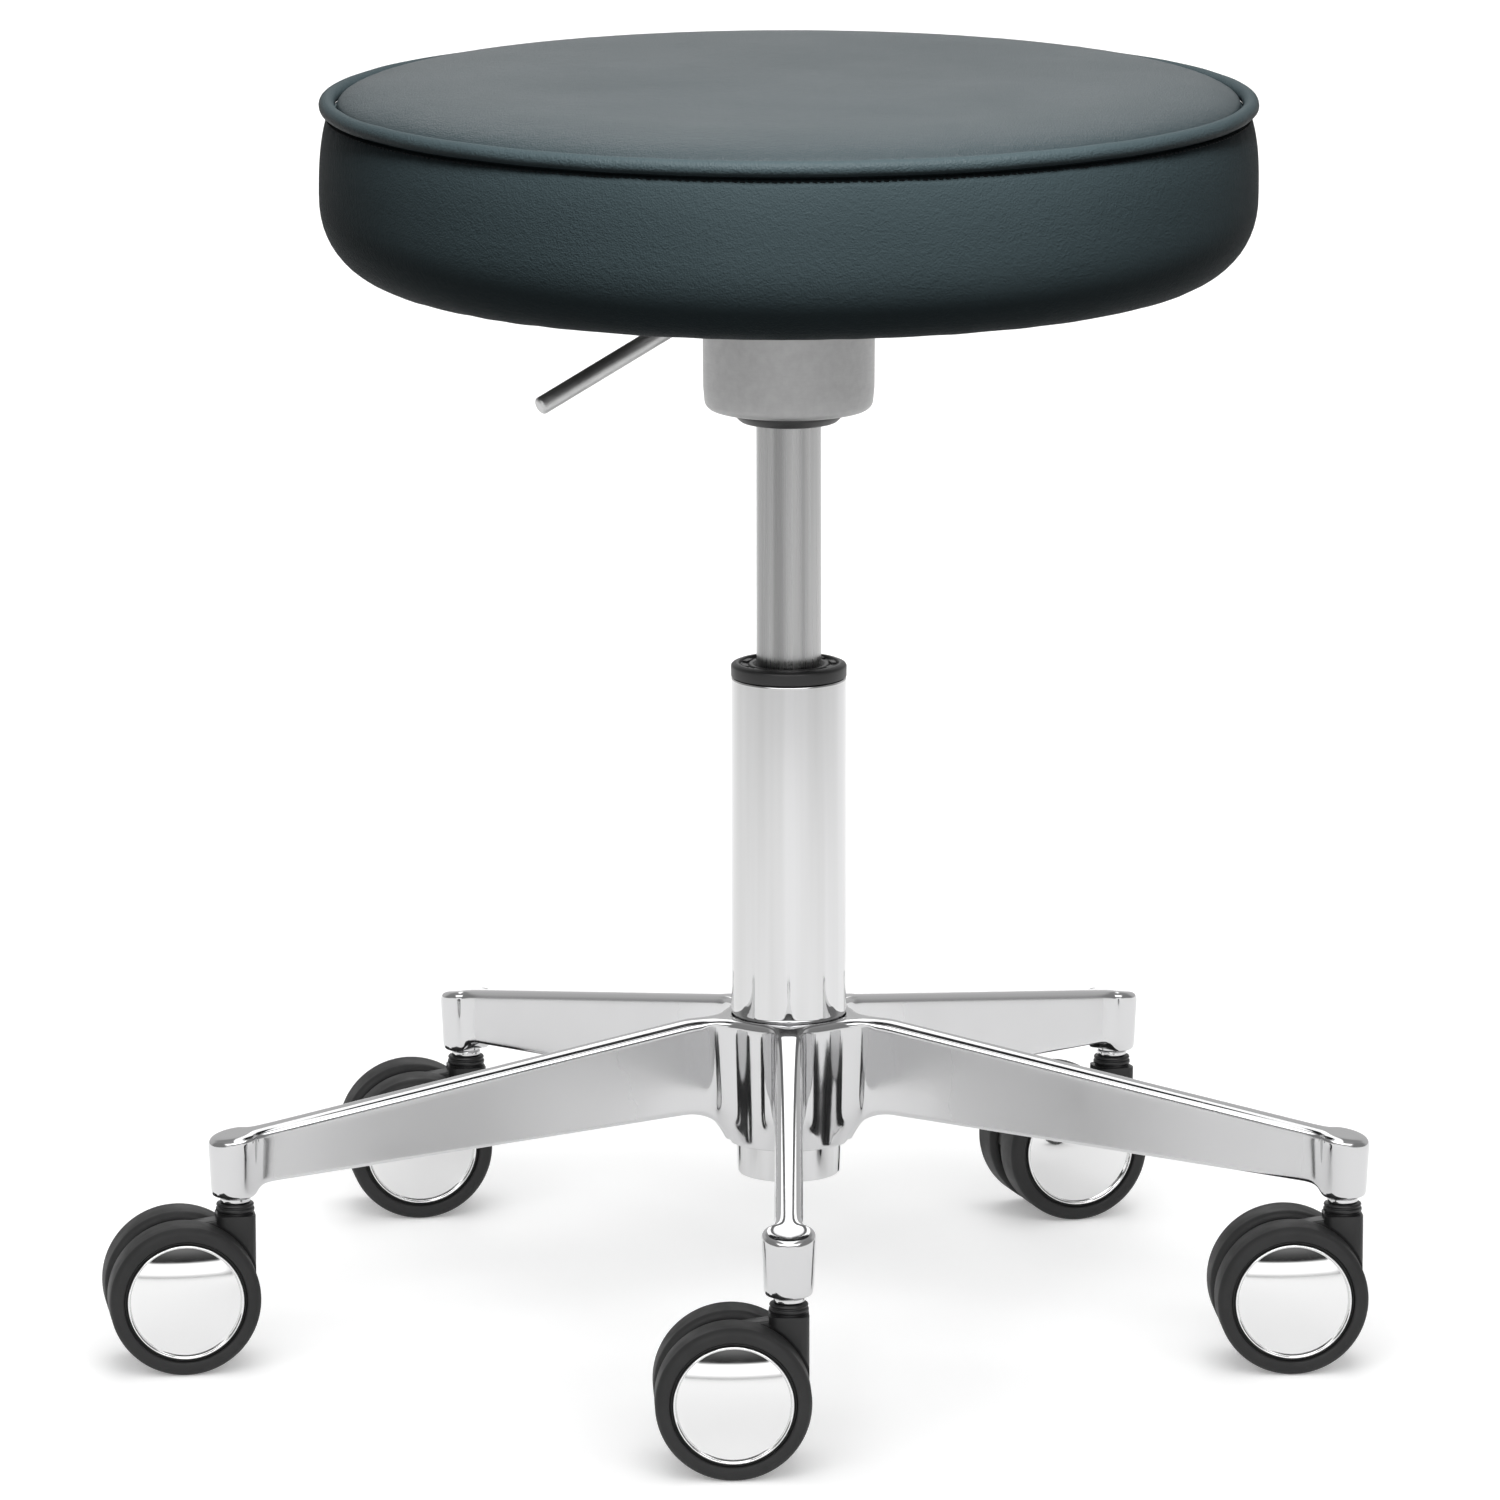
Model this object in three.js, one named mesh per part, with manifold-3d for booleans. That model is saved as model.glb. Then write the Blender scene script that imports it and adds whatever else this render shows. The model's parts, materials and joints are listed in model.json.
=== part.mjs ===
// Height-adjustable swivel stool: a round upholstered seat on a gas spring, standing on a polished
// five-arm casting with twin-wheel casters. Millimetres, +Z up, floor at z = 0.
import * as THREE from "three";
import { mergeVertices } from "three/addons/utils/BufferGeometryUtils.js";
import Module from "manifold-3d";

const wasm = await Module();
wasm.setup();

// ---- Driving dimensions -------------------------------------------------------------------------

const GAP = 0.3; // what touching pieces keep between them

// All five casters trail to one side, so the column stands off the middle of the footprint.
const COLUMN_X = 24;
const COLUMN_Y = 24;

const ARM_COUNT = 5;
const CASTER_RADIUS = 250; // column axis to each caster stem
const CASTERS = [
  { name: "front", arm: -90, turn: 2 },
  { name: "front_right", arm: -18, turn: 4 },
  { name: "back_right", arm: 54, turn: 18 },
  { name: "back_left", arm: 126, turn: 9 },
  { name: "front_left", arm: 198, turn: 8 },
];

const WHEEL_RADIUS = 32.5;
const WHEEL_WIDTH = 20;
const WHEEL_OFFSET = 15.25; // caster's middle to the middle of each wheel
const TRAIL = 23.5; // stem axis to wheel axle
const CAP_RADIUS = 25.3;
const AXLE_RADIUS = 3;
const STEM_RADIUS = 5.5;
const SPIGOT_RADIUS = 3.4; // the stem's lower end, held in the fork
const FORK_HALF_WIDTH = 4.7;
const FORK_HOUSING_RADIUS = 8.5;
const FORK_TOP = 65.5;
const COLLAR_TOP = 70.2;
const SPIGOT_BOTTOM = 46;

const SOCKET_BOTTOM = 73.2;
const SOCKET_TOP = 99;
const SOCKET_RADIUS = 11.9;
const ARM_THICKNESS = 12;
const HUB_RADIUS = 30;
const HUB_FOOT_RADIUS = 28;
const HUB_BOTTOM = 80;
const HUB_TOP = 136;
const HUB_FILLET = 14;

const TUBE_RADIUS = 25;
const TUBE_BORE = 21.5;
const TUBE_BOTTOM = 65;
const TUBE_TOP = 285;
const TUBE_FLOOR = 73; // top of the plate that closes the tube and carries the bearing
const TUBE_FLOOR_THICKNESS = 3;
const BUSH_LENGTH = 60;
const TAPER_TOP = 134.5; // the tube is straight above this and tapers into the hub below it
const TAPER_TOP_RADIUS = 23.6;
const TAPER_FOOT_RADIUS = 22.9;

const CYLINDER_RADIUS = 14; // the gas spring's moving cylinder
const CYLINDER_BOTTOM = 185;
const CYLINDER_TOP = 440.5;
const ROD_RADIUS = 5;
const PISTON_BOTTOM = 228;
const PISTON_RADIUS = 11.9;
const CYLINDER_BORE = 12.3;

const PLATE_SIDE = 140;
const PLATE_BOTTOM = 454.6;
const PLATE_THICKNESS = 3;
const SCREW_OFFSET = 52;
const SCREW_RADIUS = 3;

const HOUSING_RADIUS = 37.2;
const HOUSING_BOTTOM = 402;
const HOUSING_WALL = 1.6;

const LEVER_AZIMUTH = 211;
const LEVER_HEIGHT = 448;
const LEVER_RADIUS = 3.5;
const LEVER_PIVOT = 24; // column axis to the lever's pivot pin
const LEVER_BEND = 46.5;
const LEVER_TIP = 123.6;
const LEVER_TIP_HEIGHT = 413.7;

const SEAT_RADIUS = 201.2;
const SEAT_BOTTOM = 459;
const SEAT_WIDEST = 497;
const SEAT_TOP = 546;
const SEAT_FLAT_RADIUS = 162; // where the underside starts to round up
const NECK_RADIUS = 198.5;
const NECK_HEIGHT = 531.4;
const COVER = 1.2;
const FOLD_RADIUS = 140; // the cover is folded in under the board to here
const PIPING_RING = 197.7;
const PIPING_RADIUS = 3.4;
const PIPING_HEIGHT = 535.2;
const CROWN_EDGE = 193.3;
const CROWN_FLAT = 140;
const BOARD_RADIUS = 165.2;
const BOARD_BOTTOM = 460.7;
const BOARD_THICKNESS = 12;

const SEAT_SIDES = 32;
const TUBE_SIDES = 20;
const WHEEL_SIDES = 16;
const SOCKET_SIDES = 14;
const SMALL_SIDES = 12;

// Half a facet of turn puts a flat of the wheel on the floor, and the corners reach past the radius.
const HALF_FACET = Math.PI / WHEEL_SIDES;
const WHEEL_CORNER = WHEEL_RADIUS / Math.cos(HALF_FACET);

// ---- Materials ----------------------------------------------------------------------------------

const finish = (color, roughness, metalness) =>
  new THREE.MeshStandardMaterial({ color, roughness, metalness });

const leather = finish(0x2b3338, 0.55, 0);
const lining = finish(0x1b1b1c, 0.9, 0);
const foam = finish(0xd9cfa8, 0.95, 0);
const plywood = finish(0xb98a55, 0.8, 0);
const polished = finish(0xd8d8d8, 0.08, 1);
const chrome = finish(0xe6e6e6, 0.04, 1);
const brushed = finish(0x9c9c9c, 0.35, 1);
const steel = finish(0x8a8a8c, 0.45, 1);
const blackPlastic = finish(0x1f1f1f, 0.45, 0);
const tyreRubber = finish(0x3c3c3c, 0.6, 0);

// ---- Making solids ------------------------------------------------------------------------------

const radians = THREE.MathUtils.degToRad;

// A profile of [radius, height] pairs turned about the Z axis. It starts and ends on the axis, or closes.
function turned(profile, sides, startAngle = 0) {
  const closed = profile[0][0] > 0;
  const outline = closed ? [...profile, profile[0]] : profile;
  const points = outline.map(([r, z]) => new THREE.Vector2(r, z));
  return new THREE.LatheGeometry(points, sides, startAngle).rotateX(Math.PI / 2);
}

function disc(radius, bottom, top, sides) {
  return turned([[0, bottom], [radius, bottom], [radius, top], [0, top]], sides);
}

function ring(inner, outer, bottom, top, sides) {
  return turned([[inner, bottom], [outer, bottom], [outer, top], [inner, top]], sides);
}

function block(width, depth, bottom, top) {
  return new THREE.BoxGeometry(width, depth, top - bottom).translate(0, 0, (bottom + top) / 2);
}

// A closed geometry as a manifold-3d solid, for joining and cutting.
function solid(geometry) {
  const loose = geometry.index ? geometry.toNonIndexed() : geometry;
  const bare = new THREE.BufferGeometry();
  bare.setAttribute("position", loose.getAttribute("position"));
  const merged = mergeVertices(bare, 1e-3);
  return new wasm.Manifold(
    new wasm.Mesh({
      numProp: 3,
      vertProperties: merged.attributes.position.array,
      triVerts: new Uint32Array(merged.index.array),
    }),
  );
}

const join = (...geometries) => geometries.map(solid).reduce((all, next) => all.add(next));

const cut = (body, ...geometries) =>
  geometries.map(solid).reduce((left, next) => left.subtract(next), body);

function geometryOf(body) {
  const made = body.getMesh();
  const geometry = new THREE.BufferGeometry();
  geometry.setAttribute("position", new THREE.BufferAttribute(made.vertProperties, 3));
  geometry.setIndex(new THREE.BufferAttribute(made.triVerts, 1));
  geometry.computeVertexNormals();
  return geometry;
}

function piece(name, shape, material) {
  const geometry = shape.isBufferGeometry ? shape : geometryOf(shape);
  const mesh = new THREE.Mesh(geometry, material);
  mesh.name = name;
  return mesh;
}

// ---- Seat ---------------------------------------------------------------------------------------

// The side of the seat from its flat underside to the neck under the piping, set in by inset.
function sideLine(inset, startRadius) {
  const steps = 5;
  const squareness = 2 / 2.3; // 1 would make the corner a quarter of an ellipse
  const wide = SEAT_RADIUS - SEAT_FLAT_RADIUS - inset;
  const tall = SEAT_WIDEST - SEAT_BOTTOM - inset;
  const line = [];
  for (let i = 0; i <= steps; i++) {
    const turn = (i / steps) * (Math.PI / 2);
    const radius = SEAT_FLAT_RADIUS + wide * Math.sin(turn) ** squareness;
    const height = SEAT_WIDEST - tall * Math.max(0, Math.cos(turn)) ** squareness;
    if (radius > startRadius) line.push([radius, height]);
  }
  const bulge = NECK_RADIUS + (SEAT_RADIUS - NECK_RADIUS) * 0.75;
  line.push([bulge - inset, (SEAT_WIDEST + NECK_HEIGHT) / 2]);
  line.push([NECK_RADIUS - inset, NECK_HEIGHT]);
  return line;
}

// The crowned top from its edge beside the piping to the axis, set in by inset.
function crownLine(inset) {
  const steps = 4;
  const line = [[CROWN_EDGE - inset, PIPING_HEIGHT - 2]];
  for (let i = 0; i <= steps; i++) {
    const turn = (i / steps) * (Math.PI / 2);
    const radius = CROWN_FLAT + (CROWN_EDGE - inset - CROWN_FLAT) * Math.cos(turn);
    line.push([radius, PIPING_HEIGHT + (SEAT_TOP - inset - PIPING_HEIGHT) * Math.sin(turn)]);
  }
  line.push([0, SEAT_TOP - inset]);
  return line;
}

function seatSideCover() {
  const outer = [[FOLD_RADIUS, SEAT_BOTTOM], ...sideLine(0, 0)];
  const inner = [[FOLD_RADIUS, SEAT_BOTTOM + COVER], ...sideLine(COVER, 0)];
  return turned([...outer, ...inner.reverse()], SEAT_SIDES);
}

function seatTopCover() {
  return turned([...crownLine(COVER).reverse(), ...crownLine(0)], SEAT_SIDES);
}

function seatPiping() {
  const sides = 6;
  const section = [];
  for (let i = 0; i < sides; i++) {
    const turn = (i / sides) * Math.PI * 2;
    section.push([
      PIPING_RING + PIPING_RADIUS * Math.cos(turn),
      PIPING_HEIGHT + PIPING_RADIUS * Math.sin(turn),
    ]);
  }
  return turned(section, SEAT_SIDES);
}

function foamCore() {
  const inset = COVER + GAP;
  const recess = BOARD_RADIUS + 0.4;
  const floor = BOARD_BOTTOM + BOARD_THICKNESS + GAP;
  const side = sideLine(inset, recess + 1);
  side[side.length - 1][1] -= 1.2;
  return turned(
    [[0, floor], [recess, floor], [recess, side[0][1]], ...side, ...crownLine(inset)],
    SEAT_SIDES,
  );
}

const screwPlaces = [[1, 1], [-1, 1], [-1, -1], [1, -1]].map(([x, y]) => [
  x * SCREW_OFFSET,
  y * SCREW_OFFSET,
]);

const screwHoles = (bottom, top) =>
  screwPlaces.map(([x, y]) =>
    disc(SCREW_RADIUS + GAP, bottom, top, SMALL_SIDES).translate(x, y, 0),
  );

const SCREW_END = BOARD_BOTTOM + 9;

function seatBoard() {
  const board = solid(disc(BOARD_RADIUS, BOARD_BOTTOM, BOARD_BOTTOM + BOARD_THICKNESS, SEAT_SIDES));
  return cut(board, ...screwHoles(BOARD_BOTTOM - 1, SCREW_END + GAP));
}

function dustCover() {
  const top = SEAT_BOTTOM - GAP;
  const sheet = solid(disc(FOLD_RADIUS + 10, top - 0.8, top, SEAT_SIDES));
  return cut(sheet, ...screwHoles(top - 2, top + 1));
}

function seatScrew([x, y]) {
  const headTop = PLATE_BOTTOM - GAP;
  const headBottom = headTop - 3.2;
  const profile = [
    [0, headBottom],
    [4.2, headBottom],
    [5.4, headBottom + 1.2],
    [5.4, headTop],
    [SCREW_RADIUS, headTop],
    [SCREW_RADIUS, SCREW_END],
    [0, SCREW_END],
  ];
  return turned(profile, 12).translate(x, y, 0);
}

function makeSeat() {
  const seat = new THREE.Group();
  seat.add(
    piece("seat_top_cover", seatTopCover(), leather),
    piece("seat_side_cover", seatSideCover(), leather),
    piece("seat_piping", seatPiping(), leather),
    piece("seat_foam", foamCore(), foam),
    piece("seat_board", seatBoard(), plywood),
    piece("seat_dust_cover", dustCover(), lining),
  );
  screwPlaces.forEach((place, i) =>
    seat.add(piece(`seat_screw_${i + 1}`, seatScrew(place), steel)),
  );
  return seat;
}

// ---- Height mechanism under the seat ------------------------------------------------------------

// Steel plate with its welded socket for the gas spring and two ears for the lever's pin.
function mountingPlate() {
  const half = PLATE_SIDE / 2;
  const corner = 14;
  const outline = new THREE.Shape();
  [[1, 1], [-1, 1], [-1, -1], [1, -1]].forEach(([x, y], i) => {
    const start = radians(90 * i);
    outline.absarc(x * (half - corner), y * (half - corner), corner, start, start + Math.PI / 2);
  });
  const plate = new THREE.ExtrudeGeometry(outline, {
    depth: PLATE_THICKNESS,
    bevelEnabled: false,
    curveSegments: 5,
  }).translate(0, 0, PLATE_BOTTOM);
  const socket = disc(19, HOUSING_BOTTOM + 3, PLATE_BOTTOM + 1, TUBE_SIDES);
  const turn = radians(LEVER_AZIMUTH);
  const ears = [7, -7].map((side) =>
    block(8, 3, LEVER_HEIGHT - 5, PLATE_BOTTOM + 1).translate(LEVER_PIVOT, side, 0).rotateZ(turn),
  );
  const bore = disc(CYLINDER_RADIUS + GAP, HOUSING_BOTTOM + 2, CYLINDER_TOP + 1, TUBE_SIDES);
  const chamber = disc(16, CYLINDER_TOP, PLATE_BOTTOM - 0.5, TUBE_SIDES);
  const slot = block(14, 10, CYLINDER_TOP, PLATE_BOTTOM).translate(16, 0, 0).rotateZ(turn);
  const pinHole = pinAcross(2 + GAP, 12).rotateZ(turn);
  return cut(
    join(plate, socket, ...ears),
    bore,
    chamber,
    slot,
    pinHole,
    ...screwHoles(PLATE_BOTTOM - 1, PLATE_BOTTOM + PLATE_THICKNESS + 1),
  );
}

// A round bar along Y through the lever's pivot point.
function pinAcross(radius, halfLength) {
  return disc(radius, -halfLength, halfLength, SMALL_SIDES)
    .rotateX(Math.PI / 2)
    .translate(LEVER_PIVOT, 0, LEVER_HEIGHT);
}

function housingCover() {
  const top = PLATE_BOTTOM - 0.4;
  const foot = HOUSING_RADIUS - 0.6;
  const hole = 24.6;
  const wall = HOUSING_WALL;
  const shell = solid(
    turned(
      [
        [hole, HOUSING_BOTTOM],
        [foot - 5, HOUSING_BOTTOM],
        [foot - 1.5, HOUSING_BOTTOM + 1.5],
        [foot, HOUSING_BOTTOM + 5],
        [HOUSING_RADIUS, top],
        [HOUSING_RADIUS - wall, top],
        [foot - wall, HOUSING_BOTTOM + 5.5],
        [foot - 5.5, HOUSING_BOTTOM + wall],
        [hole, HOUSING_BOTTOM + wall],
      ],
      TUBE_SIDES + 4,
    ),
  );
  const slot = block(12, 12, LEVER_HEIGHT - 9, top + 1)
    .translate(HOUSING_RADIUS, 0, 0)
    .rotateZ(radians(LEVER_AZIMUTH));
  return cut(shell, slot);
}

function bushRing() {
  const inner = CYLINDER_RADIUS + 0.4;
  return turned(
    [
      [inner, HOUSING_BOTTOM - 5.8],
      [22.6, HOUSING_BOTTOM - 5.8],
      [24.2, HOUSING_BOTTOM - 3.6],
      [24.2, HOUSING_BOTTOM + 2.4],
      [inner, HOUSING_BOTTOM + 2.4],
    ],
    TUBE_SIDES,
  );
}

// A flat bar over the valve pin, and a round handle that bends down under the seat's edge.
function releaseLever() {
  const bar = block(45, 8, LEVER_HEIGHT - LEVER_RADIUS, LEVER_HEIGHT + LEVER_RADIUS).translate(
    17.5,
    0,
    0,
  );
  const drop = (LEVER_HEIGHT - LEVER_TIP_HEIGHT) / (LEVER_TIP - LEVER_BEND);
  const route = new THREE.CatmullRomCurve3([
    new THREE.Vector3(34, 0, LEVER_HEIGHT),
    new THREE.Vector3(LEVER_BEND - 5, 0, LEVER_HEIGHT),
    new THREE.Vector3(LEVER_BEND + 5, 0, LEVER_HEIGHT - 5 * drop),
    new THREE.Vector3(LEVER_TIP, 0, LEVER_TIP_HEIGHT),
  ]);
  const section = new THREE.Shape().absarc(0, 0, LEVER_RADIUS, 0, Math.PI * 2);
  const handle = new THREE.ExtrudeGeometry(section, {
    extrudePath: route,
    steps: 10,
    curveSegments: 4,
  });
  return geometryOf(cut(join(bar, handle), pinAcross(2 + GAP, 6))).rotateZ(radians(LEVER_AZIMUTH));
}

function makeMechanism() {
  const mechanism = new THREE.Group();
  const pivot = pinAcross(2, 9.5).rotateZ(radians(LEVER_AZIMUTH));
  mechanism.add(
    piece("mounting_plate", mountingPlate(), steel),
    piece("housing_cover", housingCover(), brushed),
    piece("housing_bush", bushRing(), blackPlastic),
    piece("lever_pivot_pin", pivot, steel),
    piece("release_lever", releaseLever(), brushed),
  );
  return mechanism;
}

// ---- Gas spring and column ----------------------------------------------------------------------

// The moving cylinder is hollow for the piston, and its foot is bored for the piston rod.
function gasCylinder() {
  const foot = CYLINDER_BOTTOM + 6;
  const head = CYLINDER_TOP - 10;
  const rodHole = ROD_RADIUS + 0.4;
  return turned(
    [
      [rodHole, CYLINDER_BOTTOM],
      [CYLINDER_RADIUS, CYLINDER_BOTTOM],
      [CYLINDER_RADIUS, CYLINDER_TOP - 2],
      [CYLINDER_RADIUS - 1, CYLINDER_TOP],
      [3 + GAP, CYLINDER_TOP],
      [3 + GAP, head],
      [CYLINDER_BORE, head],
      [CYLINDER_BORE, foot],
      [rodHole, foot],
    ],
    TUBE_SIDES,
  );
}

// The rod hangs in the tube's floor by a clip in its groove, and ends in the piston at the top.
function pistonRod() {
  const rodEnd = TUBE_BOTTOM + 0.5;
  const grooveBottom = rodEnd + 1.5;
  const grooveTop = grooveBottom + 1.8;
  const grooveRadius = ROD_RADIUS - 1;
  return turned(
    [
      [0, rodEnd],
      [ROD_RADIUS, rodEnd],
      [ROD_RADIUS, grooveBottom],
      [grooveRadius, grooveBottom],
      [grooveRadius, grooveTop],
      [ROD_RADIUS, grooveTop],
      [ROD_RADIUS, PISTON_BOTTOM],
      [PISTON_RADIUS, PISTON_BOTTOM],
      [PISTON_RADIUS, PISTON_BOTTOM + 10],
      [0, PISTON_BOTTOM + 10],
    ],
    SMALL_SIDES,
  );
}

// The tube stands straight above the hub and tapers inside it. Its floor is set in from the end.
function columnTube() {
  const floorBottom = TUBE_FLOOR - TUBE_FLOOR_THICKNESS;
  const rodHole = ROD_RADIUS + 0.6;
  const skirt = TAPER_FOOT_RADIUS - 3;
  return turned(
    [
      [rodHole, floorBottom],
      [skirt, floorBottom],
      [skirt, TUBE_BOTTOM],
      [TAPER_FOOT_RADIUS - 1.5, TUBE_BOTTOM],
      [TAPER_FOOT_RADIUS, TUBE_BOTTOM + 1.5],
      [TAPER_TOP_RADIUS, TAPER_TOP],
      [TUBE_RADIUS, TAPER_TOP + 4],
      [TUBE_RADIUS, TUBE_TOP],
      [TUBE_BORE, TUBE_TOP],
      [TUBE_BORE, TUBE_FLOOR],
      [rodHole, TUBE_FLOOR],
    ],
    TUBE_SIDES,
  );
}

// A long plastic sleeve guides the cylinder in the tube. Its flange covers the tube's end.
function guideBush() {
  const bore = CYLINDER_RADIUS + 0.4;
  const flangeBottom = TUBE_TOP + GAP;
  const flangeTop = flangeBottom + 6.3;
  return turned(
    [
      [bore, TUBE_TOP - BUSH_LENGTH],
      [TUBE_BORE - GAP, TUBE_TOP - BUSH_LENGTH],
      [TUBE_BORE - GAP, flangeBottom],
      [TUBE_RADIUS, flangeBottom],
      [TUBE_RADIUS, flangeTop - 2],
      [TUBE_RADIUS - 1.4, flangeTop],
      [20.5, flangeTop],
      [19.5, flangeTop - 1],
      [bore, flangeTop - 1.6],
    ],
    TUBE_SIDES,
  );
}

function makeColumn() {
  const column = new THREE.Group();
  const rodHole = ROD_RADIUS + GAP;
  const bearingFloor = TUBE_FLOOR + GAP;
  const bearingTop = bearingFloor + 6.4;
  const clipBottom = TUBE_BOTTOM + 2.3;
  const valvePin = disc(3, CYLINDER_TOP - 8.5, LEVER_HEIGHT - LEVER_RADIUS - GAP, SMALL_SIDES);
  const bearing = ring(rodHole, 11, bearingFloor, bearingTop, SMALL_SIDES);
  const stop = ring(rodHole, 12, bearingTop + GAP, bearingTop + 9, SMALL_SIDES);
  const clip = ring(ROD_RADIUS - 0.7, 8.5, clipBottom, clipBottom + 1.2, SMALL_SIDES);
  column.add(
    piece("column_tube", columnTube(), chrome),
    piece("guide_bush", guideBush(), blackPlastic),
    piece("gas_cylinder", gasCylinder(), brushed),
    piece("valve_pin", valvePin, steel),
    piece("piston_rod", pistonRod(), steel),
    piece("thrust_bearing", bearing, steel),
    piece("bump_stop", stop, tyreRubber),
    piece("retaining_clip", clip, steel),
  );
  return column;
}

// ---- Five-arm base ------------------------------------------------------------------------------

// The hub seen from above: a circle with a rounded corner on both sides of each arm's root.
function hubOutline() {
  const half = ARM_THICKNESS / 2;
  const reach = HUB_RADIUS + HUB_FILLET;
  const swing = Math.asin((half + HUB_FILLET) / reach); // arm's middle to the corner's centre
  const root = reach * Math.cos(swing);
  const outline = new THREE.Shape();
  for (let i = 0; i < ARM_COUNT; i++) {
    const arm = radians(90 + (360 / ARM_COUNT) * i);
    const across = arm - Math.PI / 2;
    const cos = Math.cos(arm);
    const sin = Math.sin(arm);
    const corner = (side) => [
      root * cos + side * (half + HUB_FILLET) * Math.cos(across),
      root * sin + side * (half + HUB_FILLET) * Math.sin(across),
    ];
    const [rightX, rightY] = corner(1);
    const [leftX, leftY] = corner(-1);
    outline.absarc(rightX, rightY, HUB_FILLET, arm - swing + Math.PI, arm + Math.PI / 2, true);
    outline.absarc(leftX, leftY, HUB_FILLET, arm - Math.PI / 2, arm + swing - Math.PI, true);
  }
  return outline;
}

// The hub narrows towards its foot, and curves in under the arms to a round foot.
function hub() {
  const geometry = new THREE.ExtrudeGeometry(hubOutline(), {
    depth: HUB_TOP - HUB_BOTTOM,
    bevelEnabled: false,
    curveSegments: 4,
  }).translate(0, 0, HUB_BOTTOM);
  const place = geometry.getAttribute("position");
  for (let i = 0; i < place.count; i++) {
    const low = (HUB_TOP - place.getZ(i)) / (HUB_TOP - HUB_BOTTOM);
    const scale = 1 - low * (1 - HUB_FOOT_RADIUS / HUB_RADIUS);
    place.setXY(i, place.getX(i) * scale, place.getY(i) * scale);
  }
  const reach = HUB_RADIUS + HUB_FILLET + 4;
  const limit = turned(
    [
      [0, HUB_BOTTOM - 1],
      [HUB_FOOT_RADIUS, HUB_BOTTOM - 1],
      [HUB_FOOT_RADIUS + 1.5, HUB_BOTTOM + 7],
      [HUB_FOOT_RADIUS + 6, HUB_BOTTOM + 13],
      [reach, HUB_BOTTOM + 14.5],
      [reach, HUB_TOP + 1],
      [0, HUB_TOP + 1],
    ],
    TUBE_SIDES,
  );
  return solid(geometry).intersect(solid(limit));
}

// An arm from the side, drawn along X: deep at the hub and shallow at the caster.
function arm() {
  const outline = new THREE.Shape();
  outline.moveTo(14, HUB_BOTTOM + 0.5);
  outline.lineTo(HUB_FOOT_RADIUS + 0.5, HUB_BOTTOM + 0.5);
  outline.quadraticCurveTo(31.5, 93.5, 44, 94.8);
  outline.lineTo(232, 79);
  outline.lineTo(238, 77.5);
  outline.lineTo(241, SOCKET_BOTTOM + 1);
  outline.lineTo(246, SOCKET_BOTTOM + 1);
  outline.lineTo(246, SOCKET_TOP - 0.2);
  outline.quadraticCurveTo(236, 101.5, 225, 104.8);
  outline.lineTo(36, HUB_TOP + 0.5);
  outline.lineTo(14, HUB_TOP + 0.5);
  return new THREE.ExtrudeGeometry(outline, {
    depth: ARM_THICKNESS,
    bevelEnabled: false,
    curveSegments: 3,
  })
    .translate(0, 0, -ARM_THICKNESS / 2)
    .rotateX(Math.PI / 2);
}

function casterSocket() {
  return turned(
    [
      [0, SOCKET_BOTTOM],
      [SOCKET_RADIUS - 2, SOCKET_BOTTOM],
      [SOCKET_RADIUS - 1.3, SOCKET_BOTTOM + 1],
      [SOCKET_RADIUS, SOCKET_TOP - 1.6],
      [SOCKET_RADIUS - 1.4, SOCKET_TOP],
      [0, SOCKET_TOP],
    ],
    SOCKET_SIDES,
  ).translate(CASTER_RADIUS, 0, 0);
}

function baseCasting() {
  const tubeHole = turned(
    [
      [0, HUB_BOTTOM - 1],
      [TAPER_FOOT_RADIUS + GAP + 0.2, HUB_BOTTOM - 1],
      [TAPER_TOP_RADIUS + GAP, TAPER_TOP],
      [TUBE_RADIUS + GAP, TAPER_TOP + 4],
      [0, TAPER_TOP + 4],
    ],
    TUBE_SIDES,
  );
  const stemHole = disc(STEM_RADIUS + GAP, SOCKET_BOTTOM - 1, SOCKET_TOP - 5, SMALL_SIDES);
  stemHole.translate(CASTER_RADIUS, 0, 0);
  const limbs = CASTERS.flatMap((caster) => {
    const turn = radians(caster.arm);
    return [arm().rotateZ(turn), casterSocket().rotateZ(turn)];
  });
  const stemHoles = CASTERS.map((caster) => stemHole.clone().rotateZ(radians(caster.arm)));
  return cut(hub().add(join(...limbs)), tubeHole, ...stemHoles);
}

// ---- Casters ------------------------------------------------------------------------------------
// Each is drawn with its stem on the Z axis, its wheels trailing along -X and its axle along Y.

function casterStem() {
  const ringBottom = COLLAR_TOP + 0.4;
  const ringTop = SOCKET_BOTTOM - 0.4;
  const ringRadius = STEM_RADIUS + 1.2;
  return turned(
    [
      [0, SPIGOT_BOTTOM],
      [SPIGOT_RADIUS, SPIGOT_BOTTOM],
      [SPIGOT_RADIUS, ringBottom],
      [ringRadius, ringBottom],
      [ringRadius, ringTop],
      [STEM_RADIUS, ringTop],
      [STEM_RADIUS, SOCKET_TOP - 7],
      [STEM_RADIUS - 1, SOCKET_TOP - 6],
      [0, SOCKET_TOP - 6],
    ],
    SMALL_SIDES,
  );
}

// A round bar along Y through the wheels' axle line, between two distances from the middle.
function acrossCaster(radius, from, to, sides) {
  return disc(radius, from, to, sides)
    .rotateX(Math.PI / 2)
    .translate(-TRAIL, 0, WHEEL_RADIUS);
}

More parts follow.
